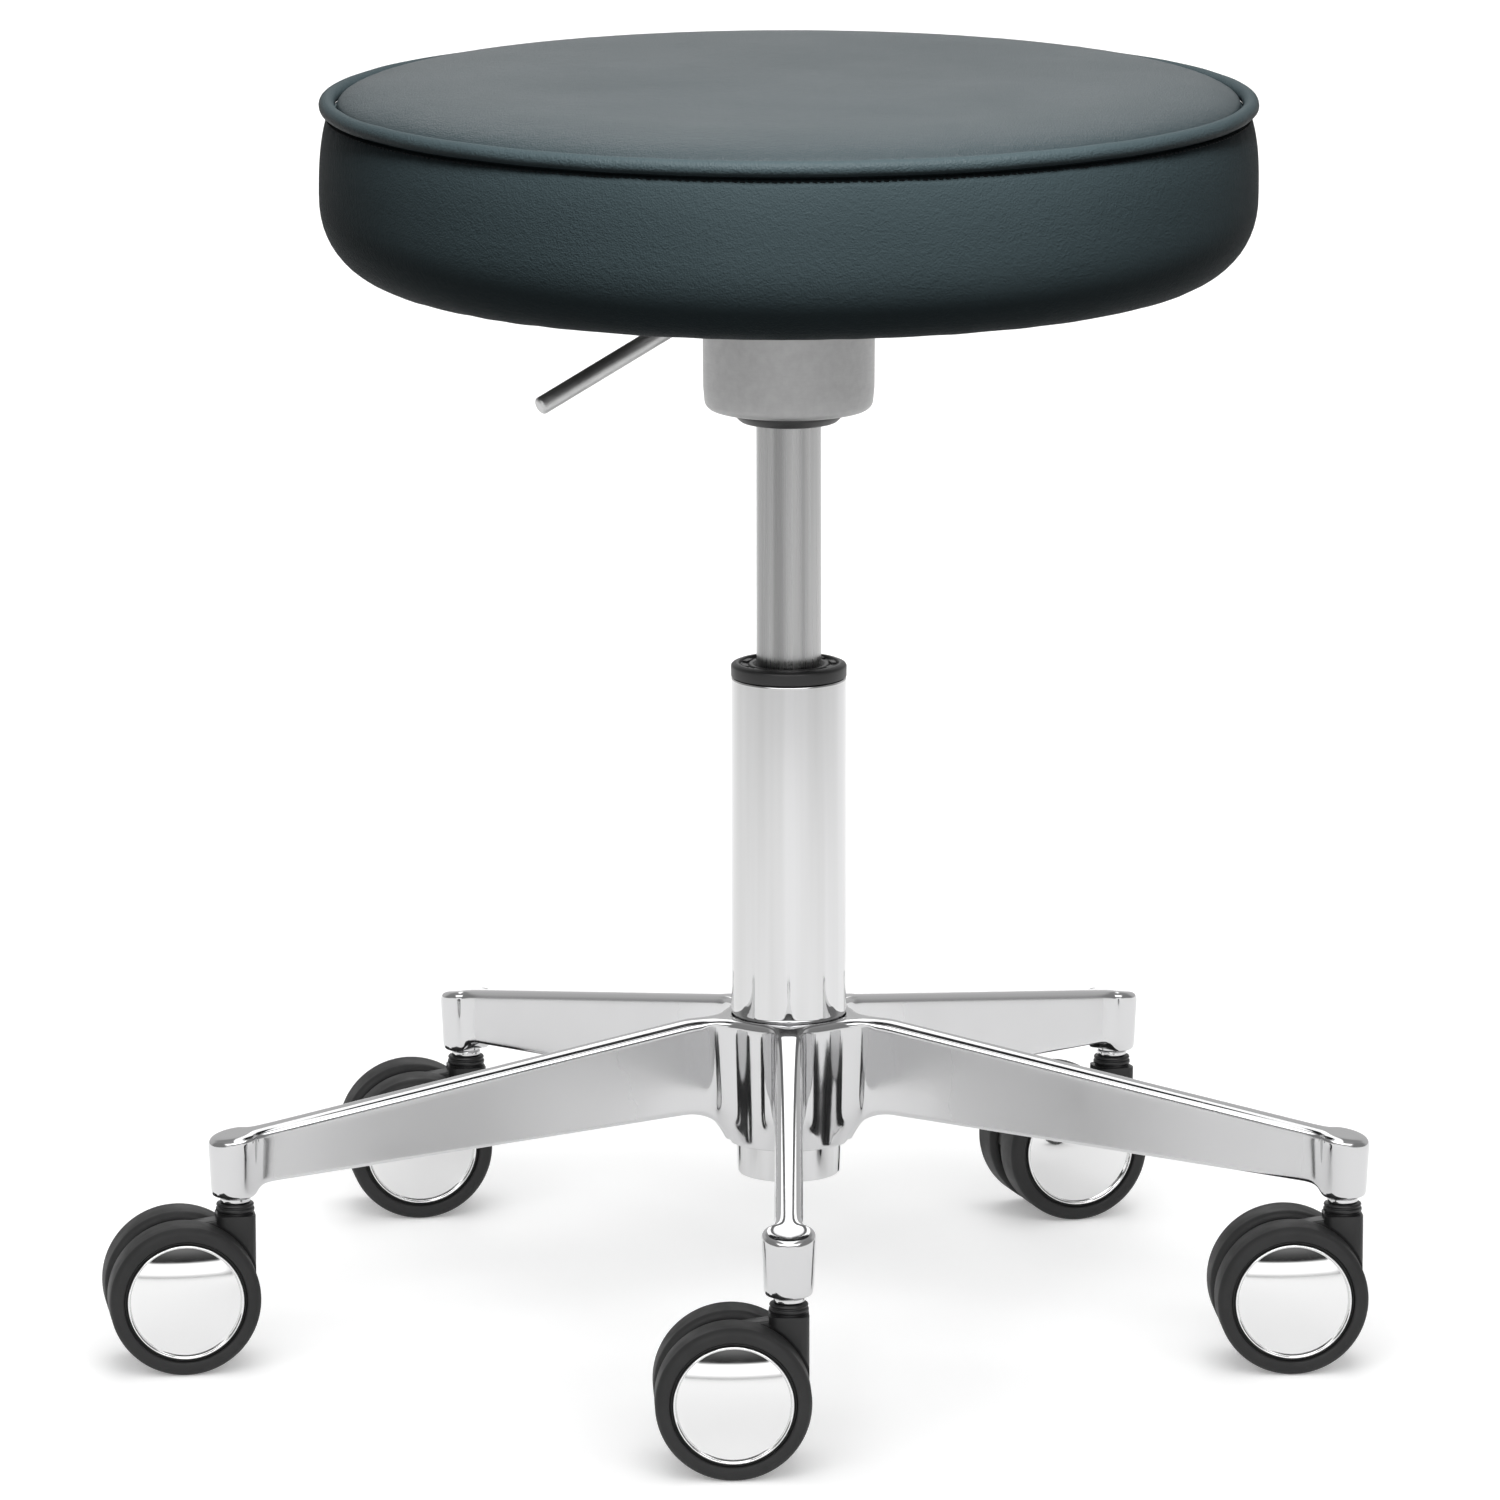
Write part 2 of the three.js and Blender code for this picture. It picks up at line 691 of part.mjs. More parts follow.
// The fork's web fills the space between the wheels, and its housing holds the stem in front of them.
function casterFork() {
  const hoodRadius = WHEEL_RADIUS - 1.2;
  const hood = new THREE.Shape();
  hood.absarc(-TRAIL, WHEEL_RADIUS, hoodRadius, radians(184), radians(90), true);
  hood.lineTo(0, FORK_TOP - 0.2);
  hood.lineTo(0, WHEEL_RADIUS - 2);
  const extrude = { depth: FORK_HALF_WIDTH * 2, bevelEnabled: false, curveSegments: 8 };
  const web = new THREE.ExtrudeGeometry(hood, extrude)
    .translate(0, 0, -FORK_HALF_WIDTH)
    .rotateX(Math.PI / 2);
  const boss = acrossCaster(8, -FORK_HALF_WIDTH, FORK_HALF_WIDTH, SMALL_SIDES);
  const housing = turned(
    [
      [0, WHEEL_RADIUS - 4],
      [FORK_HOUSING_RADIUS, WHEEL_RADIUS - 4],
      [FORK_HOUSING_RADIUS, FORK_TOP],
      [FORK_HOUSING_RADIUS - 0.8, FORK_TOP + 0.6],
      [FORK_HOUSING_RADIUS - 0.2, COLLAR_TOP - 1],
      [FORK_HOUSING_RADIUS - 1, COLLAR_TOP],
      [0, COLLAR_TOP],
    ],
    SOCKET_SIDES,
  );
  const clearance = WHEEL_CORNER + 0.8;
  const inner = FORK_HALF_WIDTH + 0.2;
  const wheelRooms = [[inner, 15], [-15, -inner]].map(([from, to]) =>
    acrossCaster(clearance, from, to, TUBE_SIDES),
  );
  const spigotBore = disc(SPIGOT_RADIUS + 0.4, SPIGOT_BOTTOM - GAP, COLLAR_TOP + 1, SMALL_SIDES);
  const axleBore = acrossCaster(AXLE_RADIUS + GAP, -12, 12, SMALL_SIDES);
  return cut(join(web, boss, housing), ...wheelRooms, spigotBore, axleBore);
}

function casterAxle() {
  const half = WHEEL_OFFSET + 6.4;
  return acrossCaster(AXLE_RADIUS, -half, half, SMALL_SIDES);
}

// side is -1 or 1 along Y. The turned profile's height runs outwards from the wheel's middle.
function setOnAxle(geometry, side) {
  return geometry
    .rotateX((-side * Math.PI) / 2)
    .translate(-TRAIL, side * WHEEL_OFFSET, WHEEL_RADIUS);
}

function casterWheel(side) {
  const half = WHEEL_WIDTH / 2;
  const seat = CAP_RADIUS + 0.5;
  return setOnAxle(
    turned(
      [
        [AXLE_RADIUS + GAP, -half],
        [WHEEL_RADIUS - 3, -half],
        [WHEEL_CORNER, 2.5 - half],
        [WHEEL_CORNER, half - 3.5],
        [WHEEL_RADIUS - 2, half - 0.4],
        [seat, half],
        [seat, half - 3.2],
        [AXLE_RADIUS + GAP, half - 3.2],
      ],
      WHEEL_SIDES,
      HALF_FACET,
    ),
    side,
  );
}

function wheelCap(side) {
  const floor = WHEEL_WIDTH / 2 - 2.9;
  return setOnAxle(
    turned(
      [
        [0, floor],
        [CAP_RADIUS, floor],
        [CAP_RADIUS, floor + 2.3],
        [CAP_RADIUS - 1.3, floor + 3.3],
        [0, floor + 4.1],
      ],
      WHEEL_SIDES,
      HALF_FACET,
    ),
    side,
  );
}

function makeCaster({ name, arm: azimuth, turn }) {
  const caster = new THREE.Group();
  const angle = radians(azimuth);
  caster.position.set(CASTER_RADIUS * Math.cos(angle), CASTER_RADIUS * Math.sin(angle), 0);
  caster.rotation.z = radians(turn);
  caster.add(
    piece(`caster_${name}_stem`, casterStem(), chrome),
    piece(`caster_${name}_fork`, casterFork(), blackPlastic),
    piece(`caster_${name}_axle`, casterAxle(), steel),
  );
  for (const [label, side] of [["near", -1], ["far", 1]]) {
    caster.add(
      piece(`caster_${name}_${label}_wheel`, casterWheel(side), tyreRubber),
      piece(`caster_${name}_${label}_cap`, wheelCap(side), chrome),
    );
  }
  return caster;
}

// ---- The stool ----------------------------------------------------------------------------------

const stool = new THREE.Group();
stool.add(makeSeat(), makeMechanism(), makeColumn(), piece("base_casting", baseCasting(), polished));
CASTERS.forEach((caster) => stool.add(makeCaster(caster)));
stool.position.set(COLUMN_X, COLUMN_Y, 0);

export default stool;
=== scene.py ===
# %% [markdown]
# # An adjustable swivel stool
# The stool has a round padded seat on a gas spring, over a polished five-arm base with twin-wheel
# casters. Its design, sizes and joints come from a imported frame. This lesson gives each visible part
# a fine surface: turned metal, a cast base, sewn leatherette and moulded plastic.

# %% Load the frame
import json
import math
import random

import bmesh
import bpy
from mathutils import Matrix, Vector, noise


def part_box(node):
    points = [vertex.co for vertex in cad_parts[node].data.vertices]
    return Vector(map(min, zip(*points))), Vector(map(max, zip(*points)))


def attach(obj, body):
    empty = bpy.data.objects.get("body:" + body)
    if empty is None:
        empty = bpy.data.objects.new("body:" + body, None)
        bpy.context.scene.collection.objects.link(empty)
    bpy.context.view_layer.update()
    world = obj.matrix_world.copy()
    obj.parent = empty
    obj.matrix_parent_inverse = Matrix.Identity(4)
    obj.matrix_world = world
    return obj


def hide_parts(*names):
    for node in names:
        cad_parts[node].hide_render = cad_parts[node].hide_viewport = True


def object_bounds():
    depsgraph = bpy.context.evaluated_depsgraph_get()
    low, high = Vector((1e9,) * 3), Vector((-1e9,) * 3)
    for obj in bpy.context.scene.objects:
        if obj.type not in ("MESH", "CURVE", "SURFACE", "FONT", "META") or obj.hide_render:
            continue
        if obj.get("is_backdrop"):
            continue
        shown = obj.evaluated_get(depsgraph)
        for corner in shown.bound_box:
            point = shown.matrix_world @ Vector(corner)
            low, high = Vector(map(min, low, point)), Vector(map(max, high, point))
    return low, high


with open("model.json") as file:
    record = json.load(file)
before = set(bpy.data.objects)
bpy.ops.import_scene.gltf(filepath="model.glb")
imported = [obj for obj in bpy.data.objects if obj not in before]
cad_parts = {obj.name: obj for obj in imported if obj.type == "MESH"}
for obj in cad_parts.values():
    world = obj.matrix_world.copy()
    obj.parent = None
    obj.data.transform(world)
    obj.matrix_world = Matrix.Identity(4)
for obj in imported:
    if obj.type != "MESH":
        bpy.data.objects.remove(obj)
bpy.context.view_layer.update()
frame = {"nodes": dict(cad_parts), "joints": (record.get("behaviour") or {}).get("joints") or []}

# %% [markdown]
# ## Camera
# A long lens a few metres away keeps the seat and the base in their true proportions. The camera
# looks down a little, so the top of the seat shows as a thin ellipse.

# %% Camera
MM = 0.001
FOCAL_LENGTH = 254.8
SENSOR = 36
CAMERA_DISTANCE = 4.507
CAMERA_HEIGHT = 1.1637
CAMERA_PITCH = math.radians(11.43)
ASIDE = 0.025867  # the column stands a little right of the middle of the view

low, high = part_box("column_tube")
axis_x = (low[0] + high[0]) / 2
axis_y = (low[1] + high[1]) / 2

camera = bpy.data.objects.new("camera", bpy.data.cameras.new("camera"))
camera.data.lens = FOCAL_LENGTH
camera.data.sensor_width = SENSOR
camera.data.shift_x = -ASIDE
camera.data.clip_end = 100
camera.location = (axis_x, axis_y - CAMERA_DISTANCE, CAMERA_HEIGHT)
camera.rotation_euler = (math.radians(90) - CAMERA_PITCH, 0, 0)
bpy.context.scene.collection.objects.link(camera)
bpy.context.scene.camera = camera
print("column axis at", round(axis_x, 4), round(axis_y, 4))

# %% [markdown]
# ## Studio
# Polished metal shows whatever stands round it. So the room matters as much as the metal: a pale
# floor, a white sweep behind, and on the camera's side a bright low band with a darker room above it.

# %% Floor and room
FLOOR_HALF = 40
FLOOR_PAINT = 0.93
FLOOR_GLOW = 0.26
SIDE_FLAGS = 0.3
BACK_SWEEP = 0.62
BACK_CEILING = 0.35
# each pair is a height, where 0.5 is the horizon and 1.0 is straight up, and a brightness
FRONT_WALL = [
    (0.0, 0.6), (0.5, 0.6), (0.506, 0.75), (0.522, 1.6), (0.566, 1.6), (0.575, 0.015),
    (0.605, 0.09), (0.64, 0.24), (0.69, 0.26), (0.715, 4.5), (0.80, 4.5), (0.85, 0.4), (1.0, 0.4),
]


def floor_paint():
    """Plain and pale, with a faint glow of its own that keeps the shadows soft."""
    material = bpy.data.materials.new("pale_floor")
    material.use_nodes = True
    shader = material.node_tree.nodes["Principled BSDF"]
    shader.inputs["Base Color"].default_value = (FLOOR_PAINT, FLOOR_PAINT, FLOOR_PAINT, 1)
    shader.inputs["Roughness"].default_value = 0.9
    shader.inputs["Specular IOR Level"].default_value = 0.1
    shader.inputs["Emission Color"].default_value = (1, 1, 1, 1)
    shader.inputs["Emission Strength"].default_value = FLOOR_GLOW
    return material


def studio_floor():
    bm = bmesh.new()
    bmesh.ops.create_grid(bm, x_segments=1, y_segments=1, size=FLOOR_HALF)
    mesh = bpy.data.meshes.new("floor")
    bm.to_mesh(mesh)
    bm.free()
    mesh.materials.append(floor_paint())
    floor = bpy.data.objects.new("floor", mesh)
    floor.location.z = -0.0002
    bpy.context.scene.collection.objects.link(floor)
    floor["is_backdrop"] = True


def world_share(nodes, links, value, start, end):
    """Rises smoothly from 0 to 1 while the value goes from start to end."""
    step = nodes.new("ShaderNodeMapRange")
    step.interpolation_type = "SMOOTHSTEP"
    step.inputs["From Min"].default_value = start
    step.inputs["From Max"].default_value = end
    links.new(value, step.inputs["Value"])
    return step.outputs["Result"]


def world_maths(nodes, links, operation, *values):
    node = nodes.new("ShaderNodeMath")
    node.operation = operation
    for value, socket in zip(values, node.inputs):
        links.new(value, socket)
    return node.outputs[0]


def world_grey(nodes, links, under, share, grey):
    """Lays a plain grey over what is under it."""
    mix = nodes.new("ShaderNodeMix")
    mix.data_type = "RGBA"
    mix.inputs["B"].default_value = (grey, grey, grey, 1)
    links.new(share, mix.inputs["Factor"])
    links.new(under, mix.inputs["A"])
    return mix.outputs["Result"]


def studio_room():
    """Light by direction: a white sweep behind, dark flags at the sides, and in front a low bright
    band, a dark gap above it and a high soft window."""
    world = bpy.data.worlds.new("studio")
    bpy.context.scene.world = world
    world.use_nodes = True
    nodes, links = world.node_tree.nodes, world.node_tree.links
    place = nodes.new("ShaderNodeTexCoord")
    split = nodes.new("ShaderNodeSeparateXYZ")
    links.new(place.outputs["Generated"], split.inputs[0])
    across, deep, up = (split.outputs[axis] for axis in "XYZ")
    height = nodes.new("ShaderNodeMapRange")
    height.inputs["From Min"].default_value = -1
    links.new(up, height.inputs["Value"])
    front = nodes.new("ShaderNodeValToRGB")
    ramp = front.color_ramp
    for index, (position, grey) in enumerate(FRONT_WALL):
        stop = ramp.elements[index] if index < 2 else ramp.elements.new(position)
        stop.position = position
        stop.color = (grey, grey, grey, 1)
    links.new(height.outputs["Result"], front.inputs["Fac"])
    aside = world_maths(nodes, links, "ABSOLUTE", across)
    at_sides = world_share(nodes, links, aside, 0.5, 0.72)
    behind = world_share(nodes, links, deep, 0.25, 0.6)
    back_half = world_share(nodes, links, deep, 0.0, 0.25)
    high_up = world_share(nodes, links, up, 0.45, 0.65)
    above_back = world_maths(nodes, links, "MULTIPLY", back_half, high_up)
    room = world_grey(nodes, links, front.outputs["Color"], at_sides, SIDE_FLAGS)
    room = world_grey(nodes, links, room, behind, BACK_SWEEP)
    room = world_grey(nodes, links, room, above_back, BACK_CEILING)
    links.new(room, nodes["Background"].inputs["Color"])


def soft_light(name, place, size, power, target=(0, 0, 0.3)):
    lamp = bpy.data.lights.new(name, "AREA")
    lamp.shape = "RECTANGLE"
    lamp.size, lamp.size_y = size
    lamp.energy = power
    light = bpy.data.objects.new(name, lamp)
    light.location = place
    light.rotation_euler = (Vector(target) - Vector(place)).to_track_quat("-Z", "Y").to_euler()
    bpy.context.scene.collection.objects.link(light)
    return light


studio_floor()
studio_room()
soft_light("overhead", (0, 2.0, 2.5), (1.6, 9.0), 62, (0, 2.0, 0))
bpy.context.scene.view_settings.view_transform = "Standard"

# %% [markdown]
# ## Turned parts
# Most of the stool is round about one axis, so most parts start as a half outline that is spun. The
# outline is a few points of radius and height, in millimetres. A third number rounds that corner.
# Rounding before the spin costs one small bevel, and the corner stays round from every side.

# %% Spinning an outline
ROUND_STEPS = 144


def outline(bm, points, closed, segments=5):
    """Wires the points in the XZ plane, and rounds the corners that ask for it."""
    corners = [bm.verts.new((point[0], 0, point[1])) for point in points]
    for start, end in zip(corners, corners[1:]):
        bm.edges.new((start, end))
    if closed:
        bm.edges.new((corners[-1], corners[0]))
    for corner, point in zip(corners, points):
        if len(point) > 2:
            bmesh.ops.bevel(
                bm, geom=[corner], offset=point[2], offset_type="OFFSET", segments=segments,
                profile=0.5, affect="VERTICES", material=-1, clamp_overlap=True,
            )


def turned(points, steps=ROUND_STEPS, segments=5):
    """A closed solid, spun about Z from its half outline in millimetres."""
    bm = bmesh.new()
    outline(bm, points, closed=points[0][0] > 0, segments=segments)
    bmesh.ops.spin(
        bm, geom=bm.verts[:] + bm.edges[:], cent=(0, 0, 0), axis=(0, 0, 1), angle=math.tau,
        steps=steps, use_merge=True,
    )
    bmesh.ops.remove_doubles(bm, verts=bm.verts, dist=1e-4)
    bmesh.ops.recalc_face_normals(bm, faces=bm.faces)
    return bm


def bevel_all(bm, edges, size, segments=3):
    bmesh.ops.bevel(
        bm, geom=edges, offset=size, offset_type="OFFSET", segments=segments, profile=0.5,
        affect="EDGES", material=-1,
    )


def add_block(bm, size, middle):
    """Adds a square-edged block to a mesh and returns its corners."""
    corners = bmesh.ops.create_cube(bm, size=1)["verts"]
    bmesh.ops.scale(bm, vec=size, verts=corners)
    bmesh.ops.translate(bm, vec=middle, verts=corners)
    return corners


def upright(edge):
    return abs(edge.verts[0].co.z - edge.verts[1].co.z) > 1e-3


def piece(name, bm, finish, body, slot, stands_for=(), smooth_below=35):
    """Puts a millimetre mesh round the column's axis into the scene, hangs it on its body and hides the
    frame parts it stands for.
    """
    bmesh.ops.scale(bm, vec=(MM, MM, MM), verts=bm.verts)
    bmesh.ops.translate(bm, vec=(axis_x, axis_y, 0), verts=bm.verts)
    mesh = bpy.data.meshes.new(name)
    bm.to_mesh(mesh)
    bm.free()
    mesh.shade_smooth()
    mesh.set_sharp_from_angle(angle=math.radians(smooth_below))
    mesh.materials.append(finish)
    made = bpy.data.objects.new(name, mesh)
    bpy.context.scene.collection.objects.link(made)
    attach(made, body)
    if stands_for:
        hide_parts(*stands_for)
    return made


print("a turned part has", ROUND_STEPS, "steps unless it says otherwise")

# %% [markdown]
# ## Finishes
# Every finish is built from noise in the object's own space, so nothing needs unwrapping. A finish
# starts with one colour, one roughness and one metal value. Then noise varies the roughness and the
# surface a little, because a perfectly even surface looks like a drawing. The arms' flat sides also
# get a softer polish than the rest of the casting, by how far out they are and which way they face.

# %% Helpers for finishes
def plain_finish(name, color, roughness, metallic=0.0, **others):
    material = bpy.data.materials.new(name)
    material.use_nodes = True
    shader = material.node_tree.nodes["Principled BSDF"]
    shader.inputs["Base Color"].default_value = (*color, 1)
    shader.inputs["Roughness"].default_value = roughness
    shader.inputs["Metallic"].default_value = metallic
    for socket, value in others.items():
        shader.inputs[socket.replace("_", " ")].default_value = value
    return material


def pattern(material, stretch=(1, 1, 1), scale=100, detail=3, kind="ShaderNodeTexNoise"):
    """A noise in the object's own metres. Stretch above 1 makes it finer along that axis."""
    nodes, links = material.node_tree.nodes, material.node_tree.links
    place = nodes.new("ShaderNodeTexCoord")
    mapping = nodes.new("ShaderNodeMapping")
    mapping.inputs["Location"].default_value = (-axis_x * stretch[0], -axis_y * stretch[1], 0)
    mapping.inputs["Scale"].default_value = stretch
    texture = nodes.new(kind)
    texture.inputs["Scale"].default_value = scale
    if "Detail" in texture.inputs:
        texture.inputs["Detail"].default_value = detail
    links.new(place.outputs["Object"], mapping.inputs["Vector"])
    links.new(mapping.outputs["Vector"], texture.inputs["Vector"])
    return texture.outputs["Fac"] if kind == "ShaderNodeTexNoise" else texture.outputs["Distance"]


def spread(material, value, low, high, start=0.3, end=0.7):
    """Maps a pattern's middle range to the values between low and high."""
    nodes, links = material.node_tree.nodes, material.node_tree.links
    ranged = nodes.new("ShaderNodeMapRange")
    ranged.inputs["From Min"].default_value = start
    ranged.inputs["From Max"].default_value = end
    ranged.inputs["To Min"].default_value = low
    ranged.inputs["To Max"].default_value = high
    links.new(value, ranged.inputs["Value"])
    return ranged.outputs["Result"]


def drive(material, socket, value):
    shader = material.node_tree.nodes["Principled BSDF"]
    material.node_tree.links.new(value, shader.inputs[socket])


def relief(material, value, strength, depth):
    """Adds a pattern to the surface as relief. Calls build on each other."""
    nodes, links = material.node_tree.nodes, material.node_tree.links
    shader = nodes["Principled BSDF"]
    bump = nodes.new("ShaderNodeBump")
    bump.inputs["Strength"].default_value = strength
    bump.inputs["Distance"].default_value = depth
    earlier = shader.inputs["Normal"].links
    if earlier:
        links.new(earlier[0].from_socket, bump.inputs["Normal"])
    links.new(value, bump.inputs["Height"])
    links.new(bump.outputs["Normal"], shader.inputs["Normal"])


def tint(material, value, dark, light):
    """Varies the base colour between two close shades."""
    nodes, links = material.node_tree.nodes, material.node_tree.links
    mix = nodes.new("ShaderNodeMix")
    mix.data_type = "RGBA"
    mix.inputs["A"].default_value = (*dark, 1)
    mix.inputs["B"].default_value = (*light, 1)
    links.new(spread(material, value, 0, 1), mix.inputs["Factor"])
    drive(material, "Base Color", mix.outputs["Result"])


print("finishes vary round the axis at", round(axis_x, 3), round(axis_y, 3))

# %% Metal finishes
def maths(material, operation, first, second):
    node = material.node_tree.nodes.new("ShaderNodeMath")
    node.operation = operation
    for index, value in enumerate((first, second)):
        if isinstance(value, (int, float)):
            node.inputs[index].default_value = value
        else:
            material.node_tree.links.new(value, node.inputs[index])
    return node.outputs[0]


def belt_polished(material, polish):
    """The arms' flat sides are finished on a belt and stay softer than the buffed hub and ends."""
    nodes, links = material.node_tree.nodes, material.node_tree.links
    place = nodes.new("ShaderNodeTexCoord")
    mapping = nodes.new("ShaderNodeMapping")
    mapping.inputs["Location"].default_value = (-axis_x, -axis_y, 0)
    mapping.inputs["Scale"].default_value = (1, 1, 0)
    reach = nodes.new("ShaderNodeVectorMath")
    reach.operation = "LENGTH"
    links.new(place.outputs["Object"], mapping.inputs["Vector"])
    links.new(mapping.outputs["Vector"], reach.inputs[0])
    facing = nodes.new("ShaderNodeSeparateXYZ")
    links.new(place.outputs["Normal"], facing.inputs[0])
    upright_face = spread(material, maths(material, "ABSOLUTE", facing.outputs["Z"], 0), 1, 0, 0.1, 0.35)
    past_hub = spread(material, reach.outputs["Value"], 0, 1, 0.034, 0.085)
    before_end = spread(material, reach.outputs["Value"], 1, 0, 0.232, 0.242)
    mask = maths(material, "MULTIPLY", maths(material, "MULTIPLY", past_hub, before_end), upright_face)
    return maths(material, "ADD", polish, maths(material, "MULTIPLY", mask, 0.24))


def polished_casting():
    made = plain_finish("polished_casting", (0.60, 0.60, 0.605), 0.07, 1.0)
    polish = spread(made, pattern(made, scale=45, detail=4), 0.05, 0.10)
    drive(made, "Roughness", belt_polished(made, polish))
    relief(made, pattern(made, scale=60, detail=2), 0.05, 0.0006)
    relief(made, pattern(made, scale=900, detail=2), 0.03, 0.0001)
    return made


def bright_chrome():
    made = plain_finish("bright_chrome", (0.70, 0.70, 0.705), 0.03, 1.0)
    drive(made, "Roughness", spread(made, pattern(made, scale=30, detail=3), 0.02, 0.06))
    tint(made, pattern(made, (1, 1, 0.02), 130, 2), (0.58, 0.58, 0.58), (0.66, 0.66, 0.665))
    relief(made, pattern(made, (6, 6, 0.4), 30, 1), 0.04, 0.0004)
    return made


def mirror_chrome():
    made = plain_finish("mirror_chrome", (0.77, 0.77, 0.77), 0.03, 1.0)
    drive(made, "Roughness", spread(made, pattern(made, scale=80, detail=5), 0.03, 0.07))
    return made


def ground_steel():
    made = plain_finish("ground_steel", (0.55, 0.55, 0.55), 0.28, 1.0)
    streaks = pattern(made, (1, 1, 0.01), 900, 4)
    drive(made, "Roughness", spread(made, streaks, 0.24, 0.32))
    tint(made, pattern(made, (1, 1, 0.01), 130, 2), (0.24, 0.24, 0.24), (0.42, 0.42, 0.42))
    relief(made, streaks, 0.05, 0.00008)
    return made


def brushed_metal(name, color):
    made = plain_finish(name, color, 0.42, 1.0)
    streaks = pattern(made, (0.06, 0.06, 1), 2600, 4)
    drive(made, "Roughness", spread(made, streaks, 0.38, 0.46))
    tint(made, pattern(made, scale=260, detail=5), [c * 0.95 for c in color], [c * 1.05 for c in color])
    relief(made, streaks, 0.08, 0.00008)
    return made


def zinc_plate():
    made = plain_finish("zinc_plate", (0.52, 0.52, 0.54), 0.35, 1.0)
    drive(made, "Roughness", spread(made, pattern(made, scale=700, detail=4), 0.28, 0.45))
    tint(made, pattern(made, scale=160, detail=4), (0.46, 0.46, 0.49), (0.58, 0.58, 0.58))
    return made


def powder_coat():
    made = plain_finish("powder_coat", (0.022, 0.022, 0.023), 0.5)
    drive(made, "Roughness", spread(made, pattern(made, scale=500, detail=3), 0.42, 0.6))
    relief(made, pattern(made, scale=1500, detail=2), 0.3, 0.0002)
    return made


casting = polished_casting()
chrome = bright_chrome()
mirror = mirror_chrome()
spring_steel = ground_steel()
housing_metal = brushed_metal("brushed_housing", (0.33, 0.33, 0.33))
lever_metal = brushed_metal("satin_lever", (0.50, 0.50, 0.50))
zinc = zinc_plate()
black_coat = powder_coat()
print("metal finishes made")

# %% [markdown]
# Leatherette is a vinyl skin pressed with a fine leather grain. The grain is made of small cells
# with valleys between them, under half a millimetre deep, and broken up by a second, softer noise.
# The plastics and rubbers are simpler: a dark colour, a satin gloss and a fine moulded texture.

# %% Leatherette, plastic and rubber finishes
def leatherette(name, dark, light, gloss):
    made = plain_finish(name, dark, 0.55, Specular_IOR_Level=gloss)
    cells = pattern(made, scale=1100, kind="ShaderNodeTexVoronoi")
    relief(made, cells, 0.45, 0.0005)
    relief(made, pattern(made, scale=380, detail=4), 0.38, 0.0008)
    drive(made, "Roughness", spread(made, pattern(made, scale=14, detail=4), 0.44, 0.50))
    tint(made, pattern(made, scale=9, detail=3), dark, light)
    return made


def moulded_plastic():
    made = plain_finish("moulded_plastic", (0.009, 0.009, 0.0093), 0.42, Specular_IOR_Level=0.45)
    drive(made, "Roughness", spread(made, pattern(made, scale=60, detail=4), 0.36, 0.5))
    relief(made, pattern(made, scale=1800, detail=2), 0.12, 0.0001)
    return made


def tread_rubber():
    made = plain_finish("tread_rubber", (0.018, 0.018, 0.0183), 0.55, Specular_IOR_Level=0.25)
    drive(made, "Roughness", spread(made, pattern(made, scale=90, detail=5), 0.48, 0.66))
    tint(made, pattern(made, scale=50, detail=5), (0.018, 0.018, 0.0183), (0.023, 0.023, 0.0233))
    relief(made, pattern(made, scale=1400, detail=3), 0.1, 0.0001)
    return made


def backing_cloth():
    made = plain_finish("backing_cloth", (0.02, 0.02, 0.021), 0.95, Specular_IOR_Level=0.2)
    tint(made, pattern(made, scale=900, detail=6), (0.012, 0.012, 0.013), (0.034, 0.034, 0.035))
    relief(made, pattern(made, scale=1300, detail=5), 0.6, 0.0003)
    return made


def plywood_grain():
    made = plain_finish("plywood_grain", (0.5, 0.33, 0.18), 0.7)
    tint(made, pattern(made, (0.15, 1, 8), 90, 6), (0.36, 0.22, 0.11), (0.56, 0.38, 0.22))
    relief(made, pattern(made, (0.1, 1, 1), 700, 4), 0.3, 0.0002)
    return made


# One leatherette in three copies with different base colours. The panel's copy is lighter: painted light on
# the seat's top. The border's copy is darker: painted shade on the sides. The piping's copy lies between
# them and is lighter than the border's: painted light. The blue-green hue is the leatherette's own.
leather = leatherette("leatherette_border_painted_shade", (0.0060, 0.0087, 0.0096), (0.0068, 0.0097, 0.0107), 0.006)
piping_leather_painted_light = leatherette(
    "leatherette_piping_painted_light", (0.0080, 0.0116, 0.0128), (0.0090, 0.0129, 0.0142), 0.03,
)
panel_leather_painted_light = leatherette("leatherette_panel_painted_light", (0.013, 0.024, 0.028), (0.014, 0.0255, 0.030), 0.42)
plastic = moulded_plastic()
tread = tread_rubber()
cloth = backing_cloth()
plywood = plywood_grain()
print("soft and moulded finishes made")

# %% [markdown]
# ## Column and gas spring
# The column is a chromed tube with a fine chamfer at the top and a taper that wedges into the base.
# The gas spring's ground cylinder slides in it through a plastic guide, whose flange closes the tube.
# All are plain turnings, so the spin does the work. What matters is the small rounding of each rim,
# because that is where polished metal catches its bright lines.

# %% Column tube
column_tube = turned([
    (20.0, 70), (20.0, 65, 0.6), (22.4, 65, 1.6), (23.3, 100), (24.3, 135.4, 0.4), (25.0, 137.4, 0.6),
    (25.0, 285, 0.9), (21.5, 285, 0.4), (21.5, 73), (5.6, 73), (5.6, 70),
], steps=192)
piece("column_tube_chromed", column_tube, chrome, "base", "chrome_tube", ["column_tube"])
print("column tube made")

